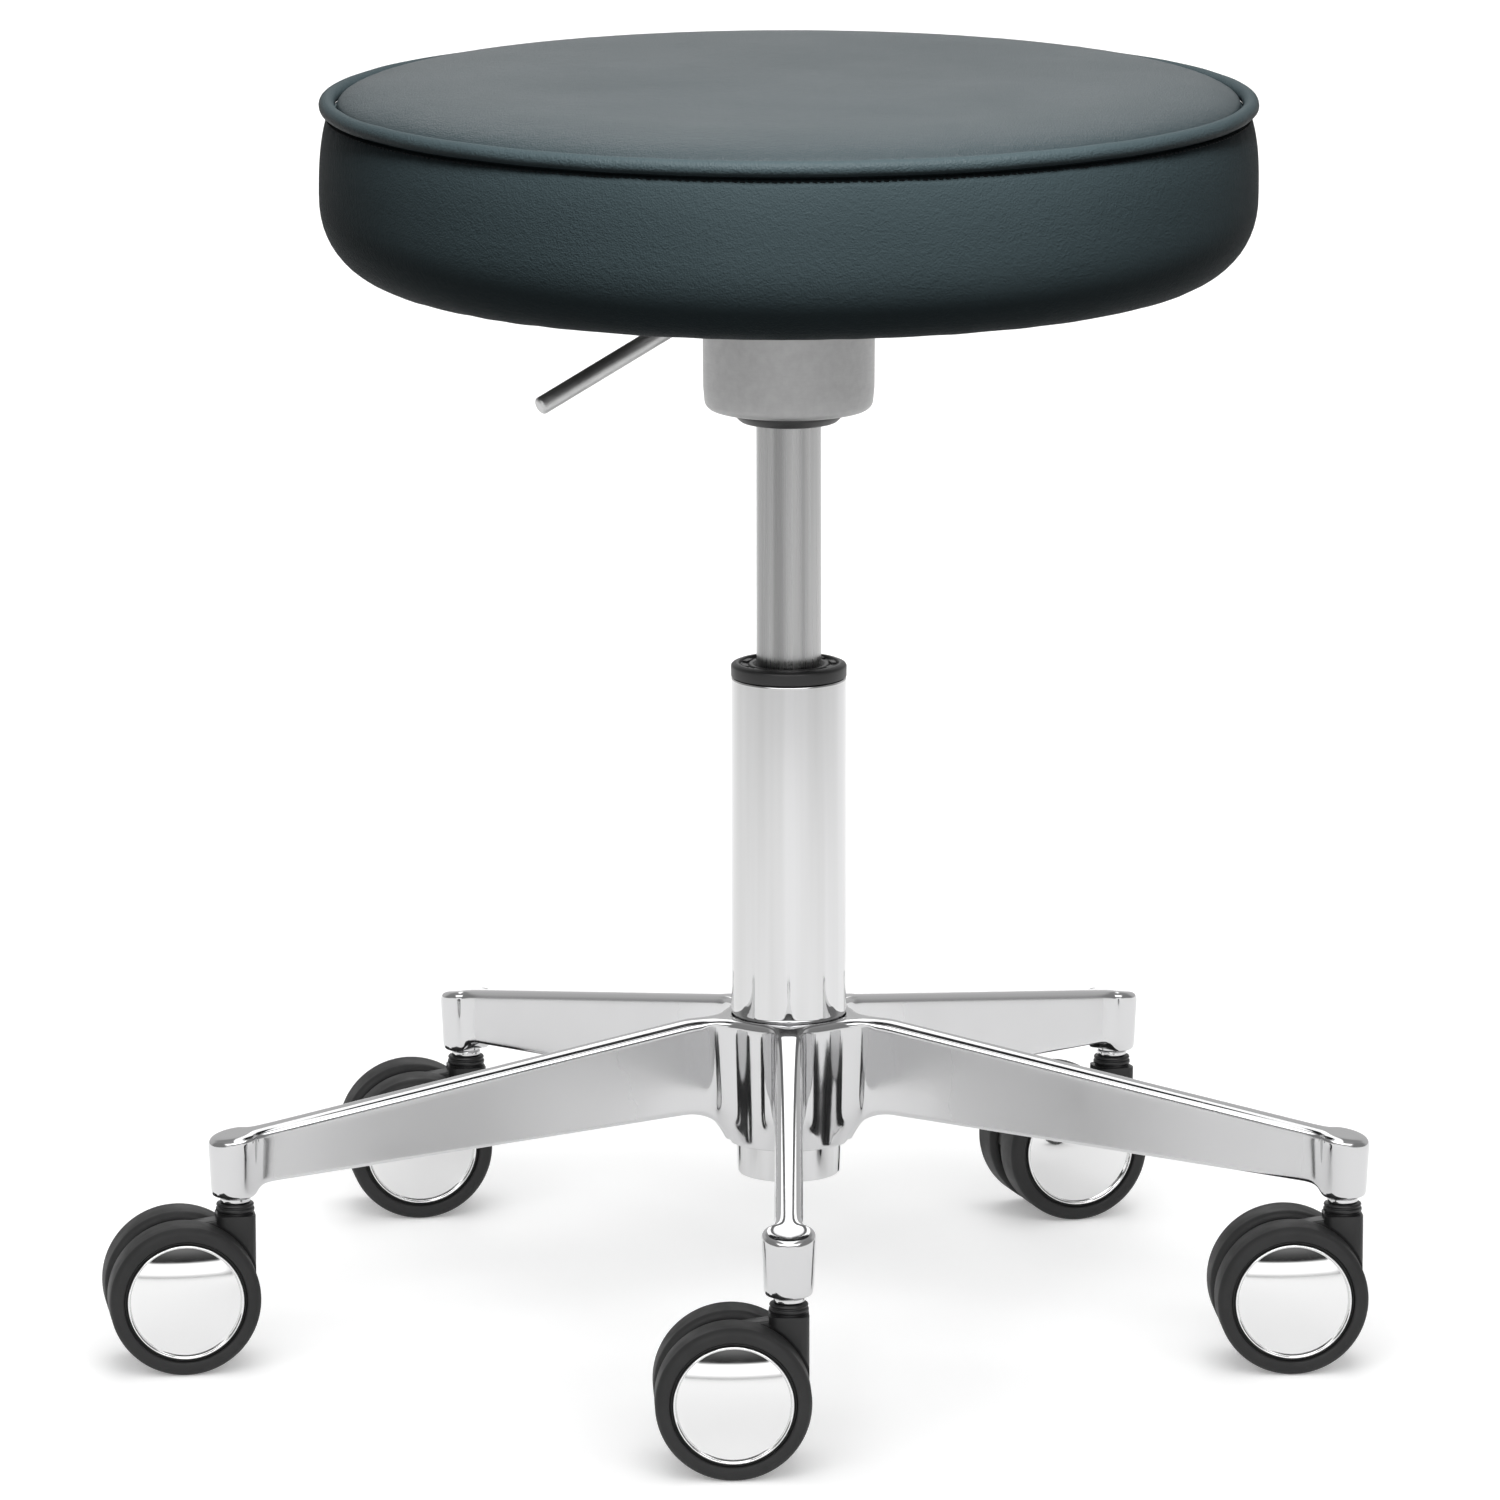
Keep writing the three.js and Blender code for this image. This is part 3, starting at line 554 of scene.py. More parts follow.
# %% Guide bush with its flange
def guide_bush():
    """The flange has a raised rim, a sunk ring with short slots, and a lip round the cylinder."""
    return turned([
        (14.15, 225), (21.2, 225, 0.5), (21.2, 285.3), (25.0, 285.3, 0.4), (25.1, 290.6, 1.0),
        (22.6, 291.6, 0.5), (21.6, 291.4, 0.3), (21.2, 290.2, 0.3), (17.6, 290.0, 0.3),
        (17.2, 290.9, 0.3), (15.6, 290.9, 0.4), (14.15, 289.6),
    ], steps=160)


piece("guide_bush_flanged", guide_bush(), plastic, "base", "black_plastic", ["guide_bush"])


def flange_ribs():
    """Short raised bars in the flange's sunk ring, between the slots."""
    bm = bmesh.new()
    ribs = 10
    for index in range(ribs):
        bar = add_block(bm, (2.6, 6.0, 1.1), (19.4, 0, 290.4))
        turn = Matrix.Rotation(math.tau * (index + 0.35) / ribs, 3, "Z")
        bmesh.ops.rotate(bm, matrix=turn, verts=bar)
    bevel_all(bm, bm.edges[:], 0.25, 2)
    return bm


piece("flange_ribs", flange_ribs(), plastic, "base", "black_plastic")
print("guide bush made")

# %% Gas cylinder
gas_cylinder = turned([
    (5.4, 185), (13.2, 185, 0.6), (14.0, 187.5), (14.0, 438.5, 0.8), (13.0, 440.5), (3.4, 440.5),
    (3.4, 431), (12.3, 431), (12.3, 191), (5.4, 191),
], steps=160)
piece("gas_cylinder_ground", gas_cylinder, spring_steel, "seat", "ground_steel", ["gas_cylinder"])
print("gas cylinder made")

# %% [markdown]
# ## Housing and mounting plate
# A brushed cup hides the joint between the gas spring and the seat's plate. It is pressed from
# sheet, so its lower edge is a generous round. A black ring closes the hole under it.

# %% Housing cup and its ring
housing_cup = turned([
    (24.6, 402.2, 0.4), (36.0, 402.6, 3.4), (36.9, 412), (37.2, 454.2), (35.6, 454.2),
    (35.3, 412, 2.0), (34.4, 404.2, 2.4), (24.6, 403.6, 0.4),
], steps=160, segments=8)
piece("housing_cup", housing_cup, housing_metal, "seat", "brushed_housing", ["housing_cover"])

housing_ring = turned([
    (14.15, 396.6, 0.3), (15.4, 396.6, 0.3), (20.6, 396.8, 1.2), (24.2, 400.4, 1.0), (24.2, 404.4),
    (14.15, 404.4),
], steps=128)
piece("housing_ring", housing_ring, plastic, "seat", "black_plastic", ["housing_bush"])
print("housing cup and ring made")

# %% Mounting plate
PLATE = 140
PLATE_LOW = 454.6
PLATE_THICKNESS = 3


def mounting_plate():
    """A stamped square plate with round corners."""
    bm = bmesh.new()
    add_block(bm, (PLATE, PLATE, PLATE_THICKNESS), (0, 0, PLATE_LOW + PLATE_THICKNESS / 2))
    bevel_all(bm, [edge for edge in bm.edges if upright(edge)], 14, 8)
    bevel_all(bm, [edge for edge in bm.edges if not upright(edge)], 0.5, 2)
    return bm


piece("plate_stamped", mounting_plate(), black_coat, "seat", "black_steel", ["mounting_plate"])

socket = turned([
    (14.3, 405), (18.6, 405, 0.6), (19.0, 408), (19.0, PLATE_LOW - 0.1), (16.0, PLATE_LOW - 0.1),
    (16.0, 441), (14.3, 440.6),
])
piece("spring_socket", socket, black_coat, "seat", "black_steel")
print("mounting plate and its socket made")

# %% [markdown]
# ## Seat screws
# Four button-head screws hold the plate. Each is turned, and its socket is an inset and a
# # push inwards, the same steps as an editor's inset and extrude.

# %% Seat screws
SCREW_SPREAD = 52
HEAD_RADIUS = 5.2
HEAD_HEIGHT = 3.2
HEAD_TOP = PLATE_LOW - 0.3


def lowest_face(bm):
    return min(bm.faces, key=lambda face: face.calc_center_median().z)


def seat_screw(x, y):
    bm = bmesh.new()
    bmesh.ops.create_cone(
        bm, cap_ends=True, segments=36, radius1=HEAD_RADIUS, radius2=HEAD_RADIUS, depth=HEAD_HEIGHT,
        matrix=Matrix.Translation((0, 0, HEAD_TOP - HEAD_HEIGHT / 2)),
    )
    bevel_all(bm, lowest_face(bm).edges[:], 1.5, 4)
    bottom = lowest_face(bm)
    bmesh.ops.inset_individual(bm, faces=[bottom], thickness=1.7, depth=0)
    bmesh.ops.inset_individual(bm, faces=[bottom], thickness=0.05, depth=-1.6)
    bmesh.ops.translate(bm, vec=(x, y, 0), verts=bm.verts)
    return bm


corners = [(1, 1), (-1, 1), (-1, -1), (1, -1)]
for number, (side_x, side_y) in enumerate(corners, start=1):
    head = seat_screw(side_x * SCREW_SPREAD, side_y * SCREW_SPREAD)
    piece(f"button_screw_{number}", head, zinc, "seat", "zinc_steel", [f"seat_screw_{number}"])
print(len(corners), "screws made")

# %% [markdown]
# ## Release lever
# The lever is a bent round bar. A circle is pushed along the straight, spun through the bend and
# pushed along the handle. That gives a true bend radius, and the tip gets a rounded edge.

# %% Release lever
LEVER_TURN = math.radians(211)
LEVER_LEVEL = 448
LEVER_RADIUS = 3.9
LEVER_START = -4
LEVER_TIP = (123.6, 413.7)
BEND_AT = 46.5
BEND_RADIUS = 16
DROOP = math.atan2(LEVER_LEVEL - LEVER_TIP[1], LEVER_TIP[0] - BEND_AT)


def push_rim(bm, rim, offset):
    """Extrudes an open rim of edges and moves the new rim."""
    made = bmesh.ops.extrude_edge_only(bm, edges=rim)["geom"]
    fresh = [part for part in made if isinstance(part, bmesh.types.BMVert)]
    bmesh.ops.translate(bm, vec=offset, verts=fresh)
    return [part for part in made if isinstance(part, bmesh.types.BMEdge)]


def release_lever():
    bm = bmesh.new()
    face_on = Matrix.Translation((LEVER_START, 0, LEVER_LEVEL)) @ Matrix.Rotation(math.pi / 2, 4, "Y")
    bmesh.ops.create_circle(bm, cap_ends=False, radius=LEVER_RADIUS, segments=40, matrix=face_on)
    start = bm.edges[:]
    to_bend = BEND_AT - BEND_RADIUS * math.tan(DROOP / 2)
    rim = push_rim(bm, start, (to_bend - LEVER_START, 0, 0))
    bend = bmesh.ops.spin(
        bm, geom=rim, cent=(to_bend, 0, LEVER_LEVEL - BEND_RADIUS), axis=(0, 1, 0), angle=DROOP,
        steps=10,
    )
    rim = [part for part in bend["geom_last"] if isinstance(part, bmesh.types.BMEdge)]
    handle = (LEVER_TIP[0] - BEND_AT) / math.cos(DROOP) - BEND_RADIUS * math.tan(DROOP / 2)
    rim = push_rim(bm, rim, (handle * math.cos(DROOP), 0, -handle * math.sin(DROOP)))
    bmesh.ops.edgeloop_fill(bm, edges=start)
    bmesh.ops.edgeloop_fill(bm, edges=rim)
    bevel_all(bm, rim, 1.6, 5)
    bmesh.ops.recalc_face_normals(bm, faces=bm.faces)
    bmesh.ops.rotate(bm, matrix=Matrix.Rotation(LEVER_TURN, 3, "Z"), verts=bm.verts)
    return bm


piece("lever_bar", release_lever(), lever_metal, "lever", "lever_steel", ["release_lever"])
print("lever droops", round(math.degrees(DROOP), 1), "degrees")

# %% [markdown]
# ## Base casting
# The base is one casting: a scalloped hub, five arms and five caster sockets, polished all over. A
# polished surface shows every bad edge, so it is built as a smooth cage for subdivision. One half
# of one arm is a grid. Each row of the grid is a section through the casting, from the top middle
# down the side to the bottom middle. The half is mirrored, then repeated five times.

# %% Sections through an arm
ARM_HALF = 6.0
ARM_SLOPE = 0.1728
TOP_AT_HUB = 136.2
TOP_AT_NECK = 103.4
NECK_REACH = 234
FILLET = 14
HUB_RADIUS = 30
ROOT_REACH = HUB_RADIUS + FILLET
LOW_AT_ROOT = 94.9
UNDER_SLOPE = 0.0833
SOCKET_REACH = 250
SOCKET_LOW = 73.2
CASTING_LEVELS = 3


def arm_top(reach):
    return min(TOP_AT_HUB, TOP_AT_NECK - ARM_SLOPE * (reach - NECK_REACH))


def arm_low(reach):
    return LOW_AT_ROOT - (reach - ROOT_REACH) * UNDER_SLOPE


def arm_section(reach, half=ARM_HALF):
    """Twelve points from the top middle down the side to the bottom middle."""
    top, low = arm_top(reach), arm_low(reach)
    return [
        Vector((reach, 0, top)),
        Vector((reach, half * 0.36, top)),
        Vector((reach, half * 0.80, top - 0.5)),
        Vector((reach, half, top - 3.2)),
        Vector((reach, half, top - 6.0)),
        Vector((reach, half, (top + low) / 2)),
        Vector((reach, half, low + 4.5)),
        Vector((reach, half, low + 1.8)),
        Vector((reach, half * 0.93, low + 0.4)),
        Vector((reach, half * 0.7, low)),
        Vector((reach, half * 0.35, low)),
        Vector((reach, 0, low)),
    ]


def socket_section(angle, radius_top=11.75, radius_low=10.6, low=SOCKET_LOW):
    """A section from the stem's axis out to the round socket's wall, in one direction."""
    along, across = math.cos(angle), math.sin(angle)

    def at(radius, height):
        return Vector((SOCKET_REACH + radius * along, radius * across, height))

    top = arm_top(SOCKET_REACH)
    slope = -ARM_SLOPE * along
    return [
        at(0, top),
        at(5.0, top + slope * 5.0),
        at(radius_top - 1.7, top + slope * (radius_top - 1.7)),
        at(radius_top - 0.1, top + slope * radius_top - 1.8),
        at(radius_top, top + slope * radius_top - 4.0),
        at((radius_top + radius_low) / 2, (top + low) / 2),
        at(radius_low + 0.2, low + 5.0),
        at(radius_low, low + 2.0),
        at(radius_low - 0.4, low + 0.5),
        at(radius_low - 1.6, low),
        at(5.0, low),
        at(0, low),
    ]


def neck_section(reach, half_top, half_low, low):
    """A section in the flare where an arm runs into its socket."""
    made = arm_section(reach, half_top)
    top = arm_top(reach)
    heights = [0, 0, 0.5, 2.6, 5.0]
    for index, drop in enumerate(heights):
        made[index].z = top - drop
    levels = [(top + low) / 2, low + 5.0, low + 2.0, low + 0.5, low, low, low]
    for index, height in enumerate(levels, start=5):
        part = (top - height) / (top - low)
        shrink = (half_top + (half_low - half_top) * part) / half_top
        made[index].y *= shrink
        made[index].z = height
    return made


print("an arm is", round(arm_top(80) - arm_low(80), 1), "mm deep where it leaves the hub")

# %% Sections through the hub
HUB_LOW = 80
HUB_FOOT = 28
BORE_TOP = 24.8
BORE_LOW = 23.3
BORE_RIM = TOP_AT_HUB - 0.3
SWING = math.asin((ARM_HALF + FILLET) / ROOT_REACH)
# heights, each with the radius that the wall may reach there
UNDER_ARMS = [(80, 28.0), (84, 28.3), (88, 29.4), (91.5, 32.0), (94, 37.5), (96, 44), (140, 60)]


def hub_limit(height):
    """How far out the hub's wall may reach at a height: it curves in under the arms."""
    for (low_z, low_r), (high_z, high_r) in zip(UNDER_ARMS, UNDER_ARMS[1:]):
        if height <= high_z:
            return low_r + (high_r - low_r) * (height - low_z) / (high_z - low_z)
    return UNDER_ARMS[-1][1]


def hub_section(radius, angle, bore_angle):
    """A section from the bore's rim out to the scalloped wall and down to the bore's foot."""
    def at(r, turn, height):
        return Vector((r * math.cos(turn), r * math.sin(turn), height))

    top = TOP_AT_HUB

    def wall(height):
        taper = 1 - (top - height) / (top - HUB_LOW) * (1 - HUB_FOOT / HUB_RADIUS)
        return min(radius * taper, hub_limit(height))

    def between(part):
        r = BORE_TOP + (radius - 1.2 - BORE_TOP) * part
        return at(r, bore_angle + (angle - bore_angle) * part, top)

    return [
        at(BORE_TOP, bore_angle, BORE_RIM),
        between(0.4),
        between(1.0) - Vector((0, 0, 0.3)),
        *[at(wall(height), angle, height) for height in (top - 2.4, top - 6, 114, 100, 93, 86, 81.2)],
        at(HUB_FOOT - 0.4, angle, HUB_LOW),
        at(BORE_LOW, bore_angle, HUB_LOW),
    ]


def root_section():
    """The last section of the arm leans, so that its underside turns down into the hub."""
    made = arm_section(41.0)
    made[0].x = 33.0
    made[1].x = 35.0
    leans = [(40.5, 99.5), (38.6, 95.6), (36.4, 93.4), (34.0, 91.9), (32.6, 90.9), (32.0, 90.5)]
    for index, (reach, height) in enumerate(leans, start=6):
        made[index].x = reach
        made[index].z = height
    return made


print("the arms' fillets meet", round(math.degrees(SWING), 1), "degrees off each arm's middle")

# %% The whole casting
def half_arm_sections():
    sections = [socket_section(math.radians(angle)) for angle in (0, 26, 52, 78, 102, 124)]
    sections.append(neck_section(242.3, 8.0, 7.6, 74.0))
    sections.append(neck_section(240.1, 6.8, 6.5, 77.6))
    sections.append(neck_section(236.0, 6.05, 6.0, 78.9))
    sections += [arm_section(reach) for reach in (229, 214, 180, 146, 112, 80, 60, 50, 45)]
    sections.append(root_section())
    centre = Vector((ROOT_REACH * math.cos(SWING), ROOT_REACH * math.sin(SWING)))
    bore_turns = (0, 6.5, 13, 19.5, 27)
    for step, bore_turn in enumerate(bore_turns):
        turn = math.radians(-92 - 15.25 * step)
        point = centre + FILLET * Vector((math.cos(turn), math.sin(turn)))
        sections.append(hub_section(point.length, math.atan2(point.y, point.x), math.radians(bore_turn)))
    sections.append(hub_section(HUB_RADIUS, math.radians(36), math.radians(36)))
    return sections


def bore_ring(height):
    """The radius and height of the bore's rim, or of its foot for a low height."""
    return (BORE_TOP, BORE_RIM) if height > 110 else (BORE_LOW, HUB_LOW)


def on_bore(edge):
    """True for an edge that lies on the rim or the foot of the bore."""
    for corner in edge.verts:
        radius, height = bore_ring(corner.co.z)
        if abs(corner.co.xy.length - radius) >= 0.05 or abs(corner.co.z - height) >= 0.05:
            return False
    return True


def base_casting():
    sections = half_arm_sections()
    rows, columns = len(sections), len(sections[0])
    bm = bmesh.new()
    bmesh.ops.create_grid(bm, x_segments=columns - 1, y_segments=rows - 1, size=1)
    for corner in bm.verts:
        column = round((corner.co.x + 1) / 2 * (columns - 1))
        row = round((corner.co.y + 1) / 2 * (rows - 1))
        corner.co = sections[row][column]
    bmesh.ops.mirror(bm, geom=bm.verts[:] + bm.edges[:] + bm.faces[:], axis="Y", merge_dist=0.001)
    copies = 4
    bmesh.ops.spin(
        bm, geom=bm.verts[:] + bm.edges[:] + bm.faces[:], cent=(0, 0, 0), axis=(0, 0, 1),
        angle=math.tau * copies / 5, steps=copies, use_duplicate=True,
    )
    bmesh.ops.remove_doubles(bm, verts=bm.verts, dist=0.01)
    open_rims = [edge for edge in bm.edges if edge.is_boundary]
    bmesh.ops.bridge_loops(bm, edges=open_rims)
    bmesh.ops.recalc_face_normals(bm, faces=bm.faces)
    crease = bm.edges.layers.float.new("crease_edge")
    rims = [edge for edge in bm.edges if on_bore(edge)]
    for edge in rims:
        edge[crease] = 0.9
    turn = Matrix.Rotation(math.radians(-90), 3, "Z")
    bmesh.ops.rotate(bm, matrix=turn, verts=bm.verts)
    print("casting cage:", len(bm.faces), "faces,", len(rims), "creased,",
          sum(not edge.is_manifold for edge in bm.edges), "open")
    return bm


base = piece("base_star", base_casting(), casting, "base", "polished_aluminium", ["base_casting"], 180)
smooth = base.modifiers.new("smooth", "SUBSURF")
smooth.levels = CASTING_LEVELS
smooth.render_levels = CASTING_LEVELS

# %% [markdown]
# ## Casters
# Each caster is the same: a chromed stem ring, a black fork with a hood between the wheels, and two
# wheels with a soft tread and a domed chrome cap. They are built once round the stem's axis, with
# the wheels trailing to the left, and then turned and moved to each arm's end.

# %% Where the casters stand
WHEEL_RADIUS = 32.5
TRAIL = 23.5
WHEEL_OFFSET = 15.25
casters = []
for joint in frame["joints"]:
    if joint["name"].endswith("_caster_swivel"):
        name = joint["name"].removesuffix("_caster_swivel")
        stem = Vector(joint["pos_m"]) / MM - Vector((axis_x, axis_y, 0)) / MM
        spin = next(j for j in frame["joints"] if j["name"] == f"{name}_near_wheel_spin")
        turn = math.atan2(-spin["axis"][0], spin["axis"][1])
        casters.append((name, Matrix.Translation((stem.x, stem.y, 0)) @ Matrix.Rotation(turn, 4, "Z")))
print("casters:", [name for name, _ in casters])

# %% Stem and fork
HOOD_RADIUS = 29.6
HOOD_THICKNESS = 9.4
HOOD_LOW = 31
ROOM_RADIUS = 33.6
ROOM_DEPTH = 12
ROOM_START = 4.9


def caster_stem():
    return turned([
        (0, 60), (3.4, 60), (3.4, 69.5), (5.9, 70.2, 0.3), (6.6, 70.6, 0.5), (6.6, 72.6, 0.5),
        (5.8, 73.1), (5.8, 80), (0, 80),
    ], steps=64)


def axle_disc(radius, thickness, middle=0.0):
    """A disc round the wheels' axis."""
    bm = bmesh.new()
    across = Matrix.Translation((-TRAIL, middle, WHEEL_RADIUS)) @ Matrix.Rotation(math.pi / 2, 4, "X")
    bmesh.ops.create_cone(
        bm, cap_ends=True, segments=96, radius1=radius, radius2=radius, depth=thickness, matrix=across,
    )
    return bm


def fork_hood():
    """The disc between the wheels, cut flat below, with rounded rims."""
    bm = axle_disc(HOOD_RADIUS, HOOD_THICKNESS)
    cut = bmesh.ops.bisect_plane(
        bm, geom=bm.verts[:] + bm.edges[:] + bm.faces[:], plane_co=(0, 0, HOOD_LOW),
        plane_no=(0, 0, -1), clear_outer=True,
    )
    rim = [part for part in cut["geom_cut"] if isinstance(part, bmesh.types.BMEdge)]
    bmesh.ops.edgeloop_fill(bm, edges=rim)
    sides = [edge for edge in bm.edges if edge.calc_face_angle(0) > math.radians(50)]
    bevel_all(bm, sides, 1.2, 3)
    bmesh.ops.recalc_face_normals(bm, faces=bm.faces)
    return bm


def fork_collar():
    """The round collar that holds the stem, with two grooves."""
    return turned([
        (0, 50), (7.6, 50), (7.6, 65.4), (7.7, 66.4, 0.2), (8.3, 66.8, 0.3), (8.3, 68.0, 0.3),
        (7.6, 68.4, 0.2), (7.6, 68.9, 0.2), (8.2, 69.2, 0.3), (7.8, 70.2, 0.4), (3.9, 70.2, 0.3),
        (3.9, 60), (0, 60),
    ], steps=64)


def fork_block():
    """The upright block under the collar, with well rounded corners."""
    bm = bmesh.new()
    add_block(bm, (16.8, 16.8, 35.2), (0, 0, 47.8))
    bevel_all(bm, [edge for edge in bm.edges if upright(edge)], 3.4, 6)
    return bm


def fork_shoulder():
    """The shoulder that runs from the block down onto the hood between the wheels."""
    bm = bmesh.new()
    for corner in add_block(bm, (24, 9.2, 13), (-12, 0, 58)):
        if corner.co.x < -12 and corner.co.z > 60:
            corner.co.z = 61.2
    bevel_all(bm, bm.edges[:], 0.8, 3)
    return bm


def solid_object(bm, name):
    mesh = bpy.data.meshes.new(name)
    bm.to_mesh(mesh)
    bm.free()
    made = bpy.data.objects.new(name, mesh)
    bpy.context.scene.collection.objects.link(made)
    return made


def combined(first, others, operation):
    """Joins or cuts solids in millimetres and returns the result as a bmesh."""
    body = solid_object(first, "work_body")
    tools = [solid_object(other, "work_tool") for other in others]
    for tool in tools:
        step = body.modifiers.new("work", "BOOLEAN")
        step.operation = operation
        step.solver = "EXACT"
        step.object = tool
    graph = bpy.context.evaluated_depsgraph_get()
    result = bmesh.new()
    result.from_object(body, graph)
    for spent in [body, *tools]:
        bpy.data.objects.remove(spent)
    return result


def wheel_room(side):
    """The space a wheel turns in, taken out of the fork."""
    return axle_disc(ROOM_RADIUS, ROOM_DEPTH, side * (ROOM_START + ROOM_DEPTH / 2))


def caster_fork():
    joined = combined(fork_hood(), [fork_block(), fork_collar(), fork_shoulder()], "UNION")
    return combined(joined, [wheel_room(-1), wheel_room(1)], "DIFFERENCE")


fork_pattern = caster_fork()
print("the fork has", len(fork_pattern.faces), "faces")

# %% Wheels
def on_axle(bm, side):
    """Turns a part spun about Z so that its top faces out along the axle, and moves it there."""
    tilt = Matrix.Rotation(-side * math.pi / 2, 3, "X")
    bmesh.ops.rotate(bm, matrix=tilt, verts=bm.verts)
    bmesh.ops.translate(bm, vec=(-TRAIL, side * WHEEL_OFFSET, WHEEL_RADIUS), verts=bm.verts)
    return bm


def wheel_tread():
    return turned([
        (26.4, -8.0), (26.4, 8.6), (26.7, 9.4, 0.5), (28.6, 9.9, 1.4), (32.5, 9.0, 5.6),
        (32.5, -9.9, 3.0), (28.6, -9.9, 0.8), (28.2, -8.0),
    ], steps=128, segments=8)


def wheel_rim():
    return turned([
        (3.2, -9.0), (9, -9.4, 0.5), (9.5, -8.2, 0.4), (27.6, -8.0, 0.4), (28.3, -9.2, 0.4),
        (28.3, -7.0), (26.3, -7.0), (26.3, 8.0, 0.5), (25.6, 8.0, 0.2), (25.5, 6.8), (3.2, 6.8),
    ], steps=96)


DOME_CURVE = 90
CAP_RADIUS = 25.3
DOME_RADIUS = 23.7
DOME_TOP = 11.2


def wheel_cap():
    """A thin domed cap with a raised bright bead round its edge."""
    points = [(0, 7.2), (25.0, 7.2, 0.3), (CAP_RADIUS, 9.0, 0.6), (24.5, 9.6, 0.6), (23.9, 8.9, 0.2)]
    rings = 24
    for index in range(rings + 1):
        radius = DOME_RADIUS * (1 - index / rings)
        sink = DOME_CURVE - math.sqrt(DOME_CURVE**2 - radius**2)
        points.append((radius, DOME_TOP - sink))
    return turned(points, steps=128)


print("a wheel is", 2 * WHEEL_RADIUS, "mm across")

# %% Five casters
def caster_piece(name, bm, where, *rest):
    bmesh.ops.transform(bm, matrix=where, verts=bm.verts)
    return piece(name, bm, *rest)


for name, where in casters:
    node = f"caster_{name}"
    swivel = f"{name}_caster"
    caster_piece(f"{node}_stem_ring", caster_stem(), where, chrome, "base", "chrome_pin", [f"{node}_stem"])
    caster_piece(
        f"{node}_hood", fork_pattern.copy(), where, plastic, swivel, "black_plastic", [f"{node}_fork"],
    )
    for label, side in (("near", -1), ("far", 1)):
        wheel = f"{name}_{label}_wheel"
        caster_piece(
            f"{node}_{label}_tread", on_axle(wheel_tread(), side), where, tread, wheel, "grey_tyre",
            [f"{node}_{label}_wheel"],
        )
        caster_piece(
            f"{node}_{label}_rim", on_axle(wheel_rim(), side), where, plastic, wheel, "black_plastic",
        )
        caster_piece(
            f"{node}_{label}_dome", on_axle(wheel_cap(), side), where, mirror, wheel, "mirror_cap",
            [f"{node}_{label}_cap"], 50,
        )
print(len(casters), "casters made")

# %% [markdown]
# ## Seat
# The seat is sewn from a round top panel and a side border, with a piping cord between them. The
# border is stretched over foam and folded in under the board. Tight leatherette is almost a turned
# shape. What makes it cloth is what the needle does: small puckers at the stitches, and slow waves
# where the foam pushes back. So the panels are spun, and their points are then moved by noise.

# %% Border
SEAT_WIDE = 201.2
SEAT_LOW = 459.0
WIDE_HEIGHT = 497
UNDER_RADIUS = 159
NECK = (197.8, 529.8)
STITCH_PITCH = 3.3
seam_length = math.tau * NECK[0]
stitches = round(seam_length / STITCH_PITCH)


def border_outline(skin=1.2):
    """The side of the seat, from the fold under the board to the seam under the piping."""
    squareness = 2 / 2.3
    outer = [(140, SEAT_LOW), (150, SEAT_LOW)]
    corner_steps = 16
    for index in range(corner_steps + 1):
        turn = index / corner_steps * math.pi / 2
        radius = UNDER_RADIUS + (SEAT_WIDE - UNDER_RADIUS) * math.sin(turn) ** squareness
        drop = (WIDE_HEIGHT - SEAT_LOW) * max(0.0, math.cos(turn)) ** squareness
        outer.append((radius, WIDE_HEIGHT - drop))
    side_steps = 12
    for index in range(1, side_steps + 1):
        part = index / side_steps
        radius = SEAT_WIDE - (SEAT_WIDE - NECK[0]) * part**3
        outer.append((radius, WIDE_HEIGHT + (NECK[1] - WIDE_HEIGHT) * part))
    tuck = [(196.4, 530.7), (194.4, 530.9), (193.8, 529.8)]
    inner = [(192, 500), (190, 480), (170, SEAT_LOW + skin + 0.6), (140, SEAT_LOW + skin)]
    return outer + tuck + inner


def seam_pull(height):
    """How strongly the seam's puckers act: fully at the neck and gone 9 mm below it."""
    return max(0.0, min(1.0, 1 - (NECK[1] + 0.5 - height) / 9)) ** 2


def stretch_border(bm):
    for corner in bm.verts:
        radius = math.hypot(corner.co.x, corner.co.y)
        if radius < 170 and corner.co.z > SEAT_LOW + 3:
            continue
        around = math.atan2(corner.co.y, corner.co.x)
        outwards = Vector((math.cos(around), math.sin(around), 0))
        slow = noise.noise(Vector((outwards.x * 2.2, outwards.y * 2.2, corner.co.z / 45)))
        pucker = noise.noise(Vector((outwards.x * 34, outwards.y * 34, corner.co.z / 12)))
        shift = 0.45 * slow + seam_pull(corner.co.z) * 0.55 * pucker
        low = max(0.0, 1 - (corner.co.z - SEAT_LOW) / 22)
        gather = noise.noise(Vector((outwards.x * 13, outwards.y * 13, 7.0)))
        corner.co += outwards * shift
        corner.co.z += low * 0.3 * gather
    return bm


border = turned(border_outline(), steps=300)
stretch_border(border)
border_piece = piece("seat_border", border, leather, "seat", "leatherette", ["seat_side_cover"], 60)
print("border made,", round(seam_length), "mm round its seam")

# %% Top panel
CROWN_EDGE = 193.4
CROWN_FLAT = 140
SEAT_TOP = 545.8
SEAM_HEIGHT = 533.0


